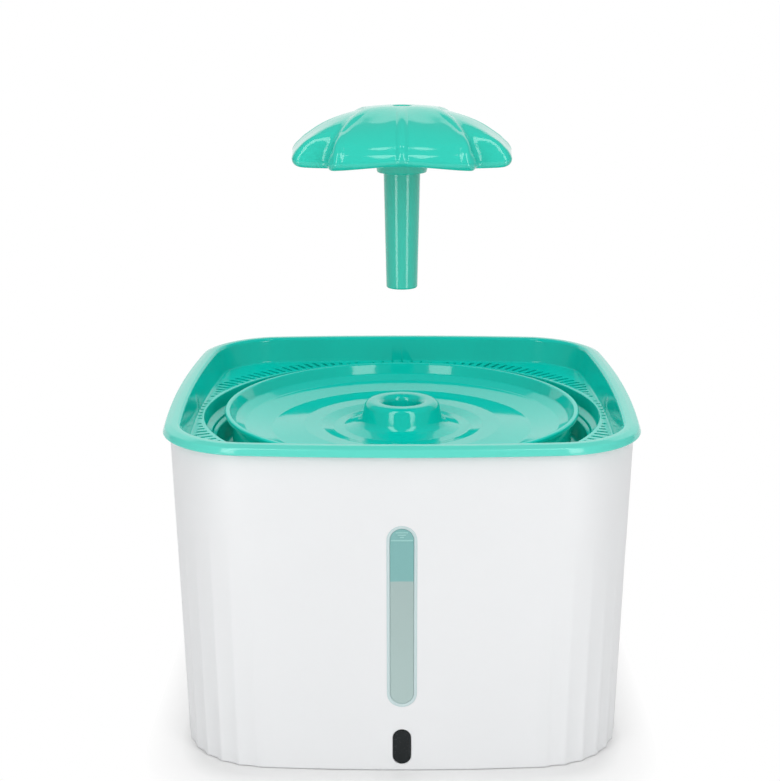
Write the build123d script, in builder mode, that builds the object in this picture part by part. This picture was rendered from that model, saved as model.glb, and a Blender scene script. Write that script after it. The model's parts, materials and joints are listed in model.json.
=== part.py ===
from build123d import *
import math
import os

# Free-standing pet water fountain. Millimetres, +Z up, front towards -Y, and the
# origin on the table under the centre of the tank. The drip tray, filter and dish are
# stacked in the tank, and the flower spout is lifted straight up, out of its nozzle.

# ---------------------------------------------------------------- tray rim and tank
rim_half = 105.0  # half of the rim's width over the middle of its sides
rim_corner = 40.0
rim_bow = 775.0  # radius of the rim's gently bowed sides
rim_overhang = 3.2  # rim beyond the tank's wall
tank_height = 142.7  # top edge of the tank above the table
tank_taper = 3.3  # the wall leans out this much from bottom to top
corner_step = 1.2  # rim's corner radius less the tank's
corner_taper = 1.8  # the tank's corner radius grows this much from bottom to top
tank_wall = 2.6
tank_floor = 3.0
tank_base_round = 1.8
foot_height = 1.0  # gap between the table and the tank's base
foot_radius = 8.0
foot_depth = 1.2  # of the pocket that holds a foot pad
foot_inset = 39.0  # of a foot pad's centre from the rim's side
flutes_per_corner = 6
flute_depth = 0.8
flute_drop = 30.7  # where the flutes run out, below the tank's top

# ---------------------------------------------------------------- window and badge
slot_width = 12.7
slot_bottom = 30.4
slot_drop = 30.1  # top of the window's slot below the tank's top
seal_width = 1.5
window_sink = 0.35  # of the window's face below the tank's wall
window_pad = 6.0  # margin of the flat pad behind the slot
window_pad_height = 1.2
window_flange = 1.6
badge_width = 7.9
badge_bottom = 3.4
badge_top = 19.8
badge_depth = 0.5
badge_proud = 0.25

# ---------------------------------------------------------------- lead's way out
notch_width = 9.0
notch_depth = 20.0
grommet_flange = 1.2
grommet_margin = 2.0
lead_bore = 2.2  # radius of the hole for the lead

# ---------------------------------------------------------------- tray
rim_rise = 4.1  # top of the rim above the tank
rim_width = 8.0
rim_edge_round = 0.6  # step that rounds the rim's lower edge
rim_shoulder = 2.05  # height of the rim's upright side
rim_slope_in = 1.2  # where the rim's rounded top starts, in from its side
rim_slope_drop = 1.0
rim_crown_in = 4.0
rim_crown_drop = 0.3
rim_lip_in = 0.7  # rounding of the rim's inner edge
basin_lean = 2.0  # the basin's wall leans in this much from rim to deck
basin_wall = 2.0
basin_gap = 0.6  # between the basin's wall and the tank
deck_drop = 13.0  # deck below the top of the rim
deck_thickness = 2.0
well_inset = 12.7  # edge of the well from the rim's side
well_wall = 1.6
well_drop = 49.8  # well's floor below the top of the rim
well_floor_thickness = 2.0
ledge_height = 17.0  # outer edge of the sloping ledge above the well's floor
ledge_fall = 2.5
slot_pitch_angle = 2.53  # between two drain slots in the deck
slot_gap = 1.7
slot_reach = 9.2
slot_margin = 1.2  # from the slots to the basin's wall
slots_per_corner = 25
slot_edge = 0.3  # between the well's wall and the slots
drain_width = 4.0  # of the slots in the well's floor
drain_rows = 3
drains_per_row = 8  # more in the inner row, and as many again in each further one
drain_inset = 6.6  # between the collar and the first row
drain_outset = 4.0  # between the last row and the chamber's wall
drain_gap = 5.0  # between two rows
collar_length = 5.0
collar_drop = 2.0  # collar's lower end below the well's floor

# ---------------------------------------------------------------- filter
filter_height = 15.0
filter_inset = 12.1  # filter's outside from the edge of the well
filter_gap = 0.8  # between the filter and the chamber round it
filter_ring = 2.4
filter_spoke = 3.0
filter_spokes = 12
filter_grid = 2.0
grid_shares = (0.42, 0.7)  # radii of the grid's rings, of the filter's radius
media_fit = 0.1
foam_height = 3.4
carbon_height = 6.2
fleece_height = 3.0

# ---------------------------------------------------------------- dish
dish_gap = 9.3  # moat between the dish's rim and the edge of the well
dish_rim_drop = 10.3  # dish's rim below the top of the tray's rim
dish_lip = 3.4  # rim beyond the skirt
dish_lip_round = 2.4  # rounding of the rim towards the bowl
dish_edge_round = 1.0
dish_edge_drop = 2.0
dish_edge_in = 0.4
dish_wall = 2.0
dish_wall_lean = 0.8
dish_depth = 8.6  # bowl's outer floor below the rim
dish_floor_fall = 1.9  # from the bowl's edge to its middle
dish_foot_round = 2.4
skirt_notches = 8
skirt_notch_width = 16.0
skirt_notch_height = 6.0

# ---------------------------------------------------------------- nozzle in the dish
nozzle_rise = 2.0  # top of the nozzle above the dish's rim
nozzle_wall = 8.0
nozzle_mouth_round = 1.8
nozzle_edge_round = 2.4
nozzle_edge_drop = 1.5
nozzle_knee_out = 3.3  # foot of the cone's upper flank, out from its edge
nozzle_knee_drop = 6.5
nozzle_flank_out = 4.3
nozzle_flank_drop = 8.7
nozzle_foot_round = 4.2
nozzle_fillet_out = 3.7
nozzle_fillet_drop = 1.7
step_out = 13.0  # edge of the step round the nozzle, out from the nozzle's edge
step_height = 1.8
step_round = 1.6
socket_wall = 2.0
socket_depth = 10.5  # of the socket below the riser's top
socket_roof = 0.8  # above the riser's top
seal_height = 2.0
seal_groove = 1.0
seal_gap = 0.3
seal_rise = 2.5  # groove above the socket's or the riser's end

# ---------------------------------------------------------------- spout
spout_lift = 106.7  # travel from the seated place to the lifted one
stem_radius = 8.3
stem_taper = 1.15
stem_wall = 1.75  # at the stem's tip
stem_length = 52.8
stem_plug = 16.0  # part of the stem inside the hub
stem_fit = 0.05
nozzle_gap = 0.3  # between the stem and the nozzle
hub_wall = 2.9
cap_height = 29.8  # cap and hub, from the hub's underside to the top
cap_rise = 27.0  # from the outline's level to the top
cap_wide_rise = 6.0  # level of the rim's widest place above the outline's level
cap_rim = 3.8  # rounded rim of the petals, from its widest place down
cap_low_share = 0.89
cap_turn_share = 0.93
cap_turn_rise = 0.4
cap_flank_share = 0.962
cap_flank_rise = 1.6
cap_roof = 3.0
cap_hollow_share = 0.88
cap_hollow_drop = 1.7  # flat roof of the hollow below the dome inside it
petal_reach = 50.0  # petal outline from the axis
petal_half = 32.5  # half of a petal's width at its corners
petal_front_round = 110.0
petal_corner = 6.0
outlet_radius = 4.0
outlet_angle = 86.5  # where the dome's curve ends at the outlet, in degrees
dome_steps = 14
hollow_steps = 7

# ---------------------------------------------------------------- riser
riser_slack = 0.1  # riser's bore over the stem
riser_wall = 1.6
riser_clearance = 0.4
riser_drop = 5.5  # riser's top below the dish's floor
riser_above_pump = 2.0
riser_funnel = 2.0
riser_web = 1.0
socket_fit = 0.1

# ---------------------------------------------------------------- pump
cup_height = 6.0
cup_radius = 8.0
cup_stem = 2.5
cup_taper = 30.0
cup_spacing_x = 28.0
cup_end_room = 1.0
cup_socket = 1.5
pump_corner = 6.0
pump_length = 34.0
pump_wall = 2.0
pump_side_room = 6.3  # between the core and the housing
face_plate = 3.7
rotor_gap = 0.6
rotor_well_wall = 1.2
rotor_well_length = 23.0
core_leg = 6.0
core_stack = 13.0
core_gap = 0.3
coil_room = 0.7  # between the coil and the housing
coil_front_room = 0.5
coil_build = 2.8
coil_half = 8.0
coil_corner = 2.0
potting_sink = 1.0
impeller_radius = 11.0
impeller_gap = 2.0  # between the blades and the chamber round them
impeller_blades = 6
blade_thickness = 1.4
blade_front_gap = 1.1
blade_length = 7.8
plate_thickness = 1.3
sleeve_radius = 3.0
sleeve_play = 0.5
magnet_radius = 6.6
magnet_length = 20.0
magnet_gap = 1.6
shaft_radius = 1.25
shaft_fit = 0.05
bush_radius = 3.0
bush_length = 2.5
chamber_depth = 12.5
volute_wall = 3.0
intake_radius = 7.5
spider_boss = 1.0
spider_arm = 1.6
spider_arms = 3
spigot_bore = 4.5
spigot_wall = 2.0
spigot_above_pump = 10.0
cover_wall = 2.2
cover_fit = 0.4
cover_room = 0.8  # between the volute and the cover over it
cover_slot_width = 2.4
cover_slot_length = 8.0
cover_slots = 7
sponge_gap = 0.5
face_gap = 0.5  # between the outlet and the pump's face
slot_column_room = 0.5  # between the cover's slots and its side walls
sponge_length = 9.3
dial_radius = 11.0
dial_thickness = 2.4
dial_gap = 0.3
dial_pin = 1.6
dial_pin_fit = 0.1
dial_pin_end = 0.2
dial_grip_width = 3.0
dial_grip_height = 1.5
dial_hole_share = 0.62  # place of the intake holes, of the dial's radius
dial_holes = 2
intake_holes = 6
gland_length = 9.0
gland_radius = 4.4
gland_sink = 1.0

# ---------------------------------------------------------------- derived places
base_z = foot_height
tank_half_top = rim_half - rim_overhang
tank_half_bottom = tank_half_top - tank_taper
tank_corner_top = rim_corner - corner_step
tank_corner_bottom = tank_corner_top - corner_taper
tank_inner_floor = base_z + tank_floor
tank_lean = tank_taper / (tank_height - base_z)
flute_top = tank_height - flute_drop
foot_reach = rim_half - foot_inset
slot_top = tank_height - slot_drop
slot_middle = (slot_bottom + slot_top) / 2
slot_length = slot_top - slot_bottom

rim_top = tank_height + rim_rise
basin_half = rim_half - rim_width
basin_corner = rim_corner - rim_width
deck_z = rim_top - deck_drop
deck_bottom = deck_z - deck_thickness
deck_half = basin_half - basin_lean
deck_corner = basin_corner - basin_lean
well_radius = rim_half - well_inset
well_floor = rim_top - well_drop
well_bottom = well_floor - well_floor_thickness
ledge_top = well_floor + ledge_height
ledge_low = ledge_top - ledge_fall
filter_radius = well_radius - filter_inset
filter_top = well_floor + filter_height
chamber_round = filter_radius + filter_gap

dish_radius = well_radius - dish_gap
dish_rim_z = rim_top - dish_rim_drop
dish_edge_z = dish_rim_z - dish_depth
dish_middle_z = dish_edge_z - dish_floor_fall
skirt_radius = dish_radius - dish_lip
wall_inner = skirt_radius - dish_wall
wall_foot = wall_inner - dish_wall_lean
floor_edge = wall_foot - dish_foot_round

nozzle_top_z = dish_rim_z + nozzle_rise
nozzle_bore = stem_radius + nozzle_gap
nozzle_edge = nozzle_bore + nozzle_wall
step_radius = nozzle_edge + step_out
riser_bore = stem_radius + riser_slack
riser_radius = riser_bore + riser_wall
riser_top = dish_middle_z - riser_drop
collar_radius = riser_radius + riser_clearance
collar_outer = collar_radius + basin_wall
hub_bore = collar_outer + filter_gap
socket_inner = riser_radius + riser_clearance
socket_outer = socket_inner + socket_wall
socket_end = riser_top - socket_depth
shoulder_z = riser_top + socket_roof

stem_top_z = nozzle_top_z + spout_lift
stem_tip_z = stem_top_z - stem_length
stem_tip_radius = stem_radius - stem_taper
stem_bore = stem_tip_radius - stem_wall
cap_top = stem_top_z + cap_height
cap_level = cap_top - cap_rise
cap_wide = cap_level + cap_wide_rise
cap_low = cap_wide - cap_rim
hollow_rise = cap_rise - cap_roof
hollow_top = cap_level + hollow_rise - cap_hollow_drop

rotor_well_radius = magnet_radius + rotor_gap
well_outer = rotor_well_radius + rotor_well_wall
chamber_radius = impeller_radius + impeller_gap
volute_radius = chamber_radius + volute_wall
spigot_radius = spigot_bore + spigot_wall
pump_base_z = tank_inner_floor + cup_height
yoke_bottom = pump_base_z + pump_wall + coil_room + coil_build
yoke_top = yoke_bottom + core_leg
rotor_z = yoke_top + coil_build + core_gap + well_outer
pump_top_z = rotor_z + volute_radius + cover_room + cover_wall
pump_height = pump_top_z - pump_base_z
pump_middle_z = (pump_base_z + pump_top_z) / 2
pump_width = 2 * (well_outer + core_gap + core_leg + pump_side_room + pump_wall)
pump_face_y = spigot_radius + face_gap
pump_rear_y = pump_face_y + pump_length
potting_front = pump_face_y + face_plate
core_front_y = potting_front + coil_front_room + coil_build
core_back_y = core_front_y + core_stack
rotor_well_end_y = pump_face_y + rotor_well_length
well_cap_y = rotor_well_end_y + rotor_well_wall + bush_length
chamber_front_y = pump_face_y - chamber_depth
volute_front_y = chamber_front_y - bush_length
spigot_top_z = pump_top_z + spigot_above_pump
riser_base_z = pump_top_z + riser_above_pump
sponge_back_y = volute_front_y - sponge_gap
sponge_front_y = sponge_back_y - sponge_length
cover_front_y = sponge_front_y - cover_wall
cover_back_y = pump_face_y - cover_fit

os.makedirs("parts", exist_ok=True)


def hand_out(piece, name):
    """Labels one finished piece and writes its STEP file."""
    piece.part.label = name
    export_step(piece.part, f"parts/{name}.step")


def bow_of(half):
    """Radius of the bowed sides of an outline that lies inside the rim's."""
    return rim_bow - (rim_half - half)


def bowed_square(half, corner):
    """Outline with four gently bowed sides and round corners."""
    bow = bow_of(half)
    middle = bow - half
    tip = (math.sqrt(2 * bow**2 - middle**2) - middle) / 2
    tips = [(-tip, -tip), (tip, -tip), (tip, tip), (-tip, tip)]
    bulges = [(0, -half), (half, 0), (0, half), (-half, 0)]
    with BuildSketch() as made:
        with BuildLine():
            for side in range(4):
                ThreePointArc(tips[side], bulges[side], tips[(side + 1) % 4])
        make_face()
        fillet(made.vertices(), radius=corner)
    return made.sketch


def squares_loft(levels):
    """Solid through bowed squares, each given as height, half width and corner."""
    with BuildPart() as made:
        for height, half, corner in levels:
            with BuildSketch(Plane.XY.offset(height)):
                add(bowed_square(half, corner))
        loft(ruled=True)
    return made.part


def revolved(points):
    """Solid of revolution about Z from a closed profile of (radius, height) points."""
    with BuildPart() as made:
        with BuildSketch(Plane.XZ):
            with BuildLine():
                Polyline(*points, close=True)
            make_face()
        revolve(axis=Axis.Z)
    return made.part


def ring(outer, inner, bottom, top):
    """Round ring about Z between two heights."""
    with BuildPart() as made:
        with BuildSketch(Plane.XY.offset(bottom)):
            Circle(outer)
            Circle(inner, mode=Mode.SUBTRACT)
        extrude(amount=top - bottom)
    return made.part


def tank_half_at(height):
    """Half width of the tank's outside at a height."""
    return tank_half_bottom + (height - base_z) * tank_lean


def front_plane(height):
    """Plane on the tank's front wall, X to the right, Y up the wall."""
    return Plane(
        origin=(0, -tank_half_at(height), height),
        x_dir=(1, 0, 0),
        z_dir=(0, -1, -tank_lean),
    )


def corner_place(half, corner):
    """Distance along X and Y of a corner's centre, and the angle where its round starts."""
    middle = bow_of(half) - half
    inner = bow_of(half) - corner
    centre = (math.sqrt(2 * inner**2 - middle**2) - middle) / 2
    return centre, math.atan(centre / (centre + middle))


def fluted_square(half, corner, depth):
    """Bowed square with a row of round flutes of a given depth in each corner."""
    centre, first = corner_place(half, corner)
    step = (math.pi / 2 - 2 * first) / flutes_per_corner

    def spot(quarter, angle, radius):
        place = Vector(centre + radius * math.cos(angle), centre + radius * math.sin(angle))
        return place.rotate(Axis.Z, 90 * quarter)

    with BuildSketch() as made:
        with BuildLine():
            for quarter in range(4):
                side_start = spot(quarter - 1, math.pi / 2 - first, corner)
                side_middle = Vector(half, 0).rotate(Axis.Z, 90 * quarter)
                ThreePointArc(side_start, side_middle, spot(quarter, first, corner))
                for number in range(flutes_per_corner):
                    angle = first + number * step
                    ThreePointArc(
                        spot(quarter, angle, corner),
                        spot(quarter, angle + step / 2, corner - depth),
                        spot(quarter, angle + step, corner),
                    )
        make_face()
    return made.sketch


def fluted_loft(levels):
    """Solid through fluted squares, each given as height, half, corner and depth."""
    with BuildPart() as made:
        for height, half, corner, depth in levels:
            with BuildSketch(Plane.XY.offset(height)):
                add(fluted_square(half, corner, depth))
        loft(ruled=True)
    return made.part


def tank_level(height, inset, depth):
    """Level of the tank's outside, for its fluted loft."""
    share = (height - base_z) / (tank_height - base_z)
    corner = tank_corner_bottom + corner_taper * share
    return height, tank_half_at(height) - inset, corner - inset, depth


# ================================================================ tank
wall_middle = front_plane(slot_middle)
badge_middle = front_plane((badge_bottom + badge_top) / 2)
badge_length = badge_top - badge_bottom
inner_corner_top = tank_corner_top - tank_wall
inner_corner_bottom = tank_corner_bottom - tank_wall
inner_half_bottom = tank_half_at(tank_inner_floor) - tank_wall
pad_inner = tank_wall + window_pad_height

round_share = 1 - math.sqrt(0.5)  # of a round's radius, at the middle of its arc

with BuildPart() as tank:
    add(
        fluted_loft(
            [
                tank_level(base_z, tank_base_round, flute_depth),
                tank_level(
                    base_z + tank_base_round * round_share,
                    tank_base_round * round_share,
                    flute_depth,
                ),
                tank_level(base_z + tank_base_round, 0, flute_depth),
                tank_level(flute_top, 0, 0),
                tank_level(tank_height, 0, 0),
            ]
        )
    )
    add(
        squares_loft(
            [
                (tank_inner_floor, inner_half_bottom, inner_corner_bottom),
                (tank_height, tank_half_top - tank_wall, inner_corner_top),
            ]
        ),
        mode=Mode.SUBTRACT,
    )
    with BuildSketch(wall_middle.offset(-pad_inner)):
        SlotOverall(slot_length + 2 * window_pad, slot_width + 2 * window_pad, rotation=90)
    extrude(amount=window_pad_height + tank_wall / 2)
    with BuildSketch(wall_middle.offset(-pad_inner)):
        SlotOverall(slot_length, slot_width, rotation=90)
    extrude(amount=2 * pad_inner, mode=Mode.SUBTRACT)
    with BuildSketch(badge_middle.offset(-badge_depth)):
        SlotOverall(badge_length, badge_width, rotation=90)
    extrude(amount=2 * badge_depth, mode=Mode.SUBTRACT)
    with BuildSketch(Plane.XZ.offset(-tank_half_top)):
        with Locations((0, tank_height)):
            SlotOverall(2 * notch_depth, notch_width, rotation=90)
    extrude(amount=2 * tank_wall, both=True, mode=Mode.SUBTRACT)
    with BuildSketch(Plane.XY.offset(base_z)):
        with GridLocations(2 * foot_reach, 2 * foot_reach, 2, 2):
            Circle(foot_radius)
    extrude(amount=foot_depth, mode=Mode.SUBTRACT)
hand_out(tank, "tank")

with BuildPart() as foot_pads:
    with BuildSketch(Plane.XY):
        with GridLocations(2 * foot_reach, 2 * foot_reach, 2, 2):
            Circle(foot_radius)
    extrude(amount=base_z + foot_depth)
    chamfer(faces().group_by(Axis.Z)[0].edges(), length=foot_height / 2)
hand_out(foot_pads, "foot_pads")

# ---------------------------------------------------------------- window, seal, badge
glass_length = slot_length - 2 * seal_width
glass_width = slot_width - 2 * seal_width

with BuildPart() as window_seal:
    with BuildSketch(wall_middle.offset(-pad_inner)):
        SlotOverall(slot_length, slot_width, rotation=90)
        SlotOverall(glass_length, glass_width, rotation=90, mode=Mode.SUBTRACT)
    extrude(amount=pad_inner - window_sink)
hand_out(window_seal, "window_seal")

with BuildPart() as level_window:
    with BuildSketch(wall_middle.offset(-pad_inner)):
        SlotOverall(glass_length, glass_width, rotation=90)
    extrude(amount=pad_inner - window_sink)
    with BuildSketch(wall_middle.offset(-pad_inner - window_flange)):
        SlotOverall(slot_length + window_pad, slot_width + window_pad, rotation=90)
    extrude(amount=window_flange)
hand_out(level_window, "level_window")

with BuildPart() as badge:
    with BuildSketch(badge_middle.offset(-badge_depth)):
        SlotOverall(badge_length, badge_width, rotation=90)
    extrude(amount=badge_depth + badge_proud)
    fillet(faces().sort_by(Axis.Y)[0].edges(), radius=badge_proud / 2)
hand_out(badge, "badge")

# ---------------------------------------------------------------- grommet
lead_z = tank_height - notch_depth + notch_width / 2

with BuildPart() as cable_grommet:
    with BuildSketch(Plane.XZ.offset(-tank_half_top)):
        with Locations((0, tank_height)):
            SlotOverall(
                2 * (notch_depth + grommet_margin),
                notch_width + 2 * grommet_margin,
                rotation=90,
            )
    extrude(amount=-grommet_flange)
    with BuildSketch(Plane.XZ.offset(-tank_half_top)):
        with Locations((0, tank_height)):
            SlotOverall(2 * notch_depth, notch_width, rotation=90)
    extrude(amount=tank_wall)
    with BuildSketch(Plane.XZ.offset(-tank_half_top - grommet_flange)):
        with Locations((0, lead_z)):
            Circle(lead_bore)
    extrude(amount=tank_wall + grommet_flange, mode=Mode.SUBTRACT)
    split(bisect_by=Plane.XY.offset(tank_height), keep=Keep.BOTTOM)
hand_out(cable_grommet, "cable_grommet")

# ================================================================ tray
basin_outer = tank_half_top - tank_wall - basin_gap
basin_outer_corner = inner_corner_top - basin_gap
slot_inner = well_radius + well_wall + slot_edge
drain_room = chamber_round - drain_outset - collar_outer - drain_inset
drain_length = (drain_room - (drain_rows - 1) * drain_gap) / drain_rows
drain_start = collar_outer + drain_inset + drain_length / 2
slot_turn = slot_pitch_angle * (slots_per_corner - 1)

with BuildPart() as tray:
    add(
        squares_loft(
            [
                (deck_bottom, deck_half + basin_wall, deck_corner + basin_wall),
                (tank_height, basin_outer, basin_outer_corner),
            ]
        )
    )
    add(
        squares_loft(
            [
                (tank_height, rim_half - rim_edge_round, rim_corner - rim_edge_round),
                (tank_height + rim_edge_round, rim_half, rim_corner),
                (tank_height + rim_shoulder, rim_half, rim_corner),
                (rim_top - rim_slope_drop, rim_half - rim_slope_in, rim_corner - rim_slope_in),
                (rim_top - rim_crown_drop, rim_half - rim_crown_in, rim_corner - rim_crown_in),
                (rim_top, basin_half + rim_lip_in, basin_corner + rim_lip_in),
            ]
        )
    )
    add(
        squares_loft(
            [
                (deck_z, deck_half, deck_corner),
                (rim_top - rim_slope_drop, basin_half, basin_corner),
                (rim_top, basin_half + rim_lip_in, basin_corner + rim_lip_in),
            ]
        ),
        mode=Mode.SUBTRACT,
    )
    add(
        revolved(
            [
                (0, well_bottom),
                (chamber_round + well_wall, well_bottom),
                (chamber_round + well_wall, ledge_low - well_wall),
                (well_radius + well_wall, ledge_top - well_wall),
                (well_radius + well_wall, deck_z - deck_thickness / 2),
                (0, deck_z - deck_thickness / 2),
            ]
        )
    )
    add(
        revolved(
            [
                (0, well_floor),
                (chamber_round, well_floor),
                (chamber_round, ledge_low),
                (well_radius, ledge_top),
                (well_radius, deck_z),
                (0, deck_z),
            ]
        ),
        mode=Mode.SUBTRACT,
    )
    add(ring(collar_outer, collar_radius, well_bottom - collar_drop, well_floor + collar_length))
    with BuildSketch(Plane.XY.offset(well_bottom)):
        Circle(collar_radius)
    extrude(amount=well_floor_thickness, mode=Mode.SUBTRACT)
    # Slots through the well's floor, under the filter.
    with BuildSketch(Plane.XY.offset(well_bottom)):
        for row in range(drain_rows):
            row_radius = drain_start + row * (drain_length + drain_gap)
            with PolarLocations(row_radius, (row + 2) * drains_per_row):
                SlotOverall(drain_length, drain_width)
    extrude(amount=well_floor_thickness, mode=Mode.SUBTRACT)
    # Drain slots that fan out round the well in the deck's corners.
    with BuildSketch(Plane.XY.offset(deck_bottom)):
        for quarter in range(4):
            with PolarLocations(
                slot_inner + slot_reach / 2,
                slots_per_corner,
                start_angle=45 + 90 * quarter - slot_turn / 2,
                angular_range=slot_turn,
                endpoint=True,
            ):
                SlotOverall(slot_reach, slot_gap)
        add(
            bowed_square(deck_half - slot_margin, deck_corner - slot_margin),
            mode=Mode.INTERSECT,
        )
    extrude(amount=deck_thickness, mode=Mode.SUBTRACT)
hand_out(tray, "tray")

# ================================================================ filter
media_outer = filter_radius - filter_ring
media_inner = hub_bore + filter_ring
foam_bottom = well_floor + filter_grid
carbon_bottom = foam_bottom + foam_height
fleece_bottom = carbon_bottom + carbon_height


def filter_layer(bottom, height):
    """Round layer of the filter's media inside its frame."""
    return ring(media_outer - media_fit, media_inner + media_fit, bottom, bottom + height)


with BuildPart() as filter_frame:
    add(ring(filter_radius, media_outer, well_floor, filter_top))
hand_out(filter_frame, "filter_frame")

grid_outer = media_outer - media_fit
spoke_start = (hub_bore + media_inner) / 2

with BuildPart() as filter_grid_disc:
    add(ring(media_inner, hub_bore, well_floor, filter_top))
    add(ring(grid_outer, grid_outer - filter_spoke, well_floor, foam_bottom))
    for share in grid_shares:
        outer = filter_radius * share
        add(ring(outer, outer - filter_spoke, well_floor, foam_bottom))
    with BuildSketch(Plane.XY.offset(well_floor)):
        with PolarLocations((grid_outer + spoke_start) / 2 - filter_spoke / 4, filter_spokes):
            Rectangle(grid_outer - spoke_start - filter_spoke / 2, filter_spoke)
    extrude(amount=filter_grid)
hand_out(filter_grid_disc, "filter_grid")

with BuildPart() as filter_foam:
    add(filter_layer(foam_bottom, foam_height))
hand_out(filter_foam, "filter_foam")

with BuildPart() as filter_carbon:
    add(filter_layer(carbon_bottom, carbon_height))
hand_out(filter_carbon, "filter_carbon")

with BuildPart() as filter_fleece:
    add(filter_layer(fleece_bottom, fleece_height))
hand_out(filter_fleece, "filter_fleece")

# ================================================================ dish
edge_side = (dish_radius - dish_edge_in, dish_rim_z - dish_edge_drop)
edge_top = (dish_radius - dish_edge_round, dish_rim_z)
edge_out = (dish_radius, dish_rim_z - dish_edge_round)
lip_under = dish_rim_z - dish_lip
floor_under = dish_edge_z - dish_wall
middle_under = dish_middle_z - dish_wall
mouth_side = (nozzle_bore, nozzle_top_z - nozzle_mouth_round)
mouth_top = (nozzle_bore + nozzle_mouth_round, nozzle_top_z)
cone_top = (nozzle_edge - nozzle_edge_drop, nozzle_top_z)
cone_edge = (nozzle_edge, nozzle_top_z - nozzle_edge_drop)
cone_knee = (nozzle_edge + nozzle_knee_out, nozzle_top_z - nozzle_knee_drop)
cone_foot = (nozzle_edge + nozzle_flank_out, nozzle_top_z - nozzle_flank_drop)
fillet_foot = (cone_foot[0] + nozzle_fillet_out, cone_foot[1] - nozzle_fillet_drop)
step_top = (step_radius - step_round, dish_middle_z + step_height)
step_foot = (step_radius, dish_middle_z)
bowl_foot = (floor_edge, dish_edge_z)
bowl_wall = (wall_foot, dish_edge_z + dish_foot_round)
bowl_top = (wall_inner, dish_rim_z - dish_lip_round)
lip_top = (wall_inner + dish_lip_round, dish_rim_z)
groove_z = socket_end + seal_rise

with BuildPart() as dish:
    with BuildSketch(Plane.XZ):
        with BuildLine():
            # Underside of the rim, the skirt, the floor's underside and the socket.
            Polyline(
                edge_side,
                (skirt_radius, lip_under),
                (skirt_radius, filter_top),
                (wall_inner, filter_top),
                (wall_inner, floor_under),
                (floor_edge, floor_under),
                (step_radius, middle_under),
                (socket_outer, middle_under),
                (socket_outer, socket_end),
                (socket_inner, socket_end),
                (socket_inner, shoulder_z),
                (nozzle_bore, shoulder_z),
                mouth_side,
            )
            # Rounded mouth, cone and stepped foot of the nozzle.
            RadiusArc(mouth_side, mouth_top, nozzle_mouth_round)
            Line(mouth_top, cone_top)
            RadiusArc(cone_top, cone_edge, nozzle_edge_round)
            Polyline(cone_edge, cone_knee, cone_foot)
            RadiusArc(cone_foot, fillet_foot, -nozzle_foot_round)
            Line(fillet_foot, step_top)
            RadiusArc(step_top, step_foot, step_height)
            # Floor, wall and rim of the bowl.
            Line(step_foot, bowl_foot)
            RadiusArc(bowl_foot, bowl_wall, -dish_foot_round)
            Line(bowl_wall, bowl_top)
            RadiusArc(bowl_top, lip_top, dish_lip_round)
            Line(lip_top, edge_top)
            RadiusArc(edge_top, edge_out, dish_edge_round)
            Line(edge_out, edge_side)
        make_face()
    revolve(axis=Axis.Z)
    add(
        ring(socket_inner + seal_groove, nozzle_bore, groove_z, groove_z + seal_height),
        mode=Mode.SUBTRACT,
    )
    with BuildSketch(Plane.XY.offset(filter_top)):
        with PolarLocations(skirt_radius, skirt_notches):
            Rectangle(4 * dish_wall, skirt_notch_width)
    extrude(amount=skirt_notch_height, mode=Mode.SUBTRACT)
hand_out(dish, "dish")

with BuildPart() as dish_seal:
    add(
        ring(
            socket_inner + seal_groove,
            riser_radius + seal_gap,
            groove_z,
            groove_z + seal_height,
        )
    )
hand_out(dish_seal, "dish_seal")


# ================================================================ spout
def petals(share):
    """Outline of four broad petals that meet in creases, at a share of its full size."""
    reach = petal_reach * share
    half = petal_half * share
    bow = petal_front_round * share
    corner = math.sqrt(bow**2 - half**2) - (bow - reach)
    with BuildSketch() as made:
        with BuildLine():
            for side in range(4):
                left, tip, right, crease, following = (
                    Vector(*spot).rotate(Axis.Z, 90 * side)
                    for spot in (
                        (-half, -corner),
                        (0, -reach),
                        (half, -corner),
                        (half, -half),
                        (corner, -half),
                    )
                )
                ThreePointArc(left, tip, right)
                Polyline(right, crease, following)
        make_face()
        fillet(made.vertices().group_by(SortBy.DISTANCE)[-1], radius=petal_corner * share)
    return made.sketch


def petals_loft(levels):
    """Solid through petal outlines, each given as height and share of full size."""
    with BuildPart() as made:
        for height, share in levels:
            with BuildSketch(Plane.XY.offset(height)):
                add(petals(share))
        loft(ruled=True)
    return made.part


def dome_levels(rise, full_share, low, high, steps):
    """Heights and shares of a dome above the outline's level, at even angles."""
    first = math.asin((low - cap_level) / rise)
    last = math.asin((high - cap_level) / rise)
    levels = []
    for step in range(steps + 1):
        angle = first + (last - first) * step / steps
        levels.append((cap_level + rise * math.sin(angle), full_share * math.cos(angle)))
    return levels


dome_end = cap_level + cap_rise * math.sin(math.radians(outlet_angle))
rim_levels = [
    (cap_low, cap_low_share),
    (cap_low + cap_turn_rise, cap_turn_share),
    (cap_low + cap_flank_rise, cap_flank_share),
]

with BuildPart() as flower_cap:
    add(petals_loft(rim_levels + dome_levels(cap_rise, 1.0, cap_wide, dome_end, dome_steps)))
    add(
        petals_loft(
            dome_levels(hollow_rise, cap_hollow_share, cap_low, hollow_top, hollow_steps)
        ),
        mode=Mode.SUBTRACT,
    )
    with BuildSketch(Plane.XY.offset(stem_top_z)):
        Circle(stem_radius + hub_wall)
    extrude(amount=hollow_top + cap_roof / 2 - stem_top_z)
    with BuildSketch(Plane.XY.offset(stem_top_z)):
        Circle(stem_radius + stem_fit)
    extrude(amount=stem_plug, mode=Mode.SUBTRACT)
    with BuildSketch(Plane.XY.offset(stem_top_z)):
        Circle(outlet_radius)
    extrude(amount=cap_height, mode=Mode.SUBTRACT)
hand_out(flower_cap, "flower_cap")

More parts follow.
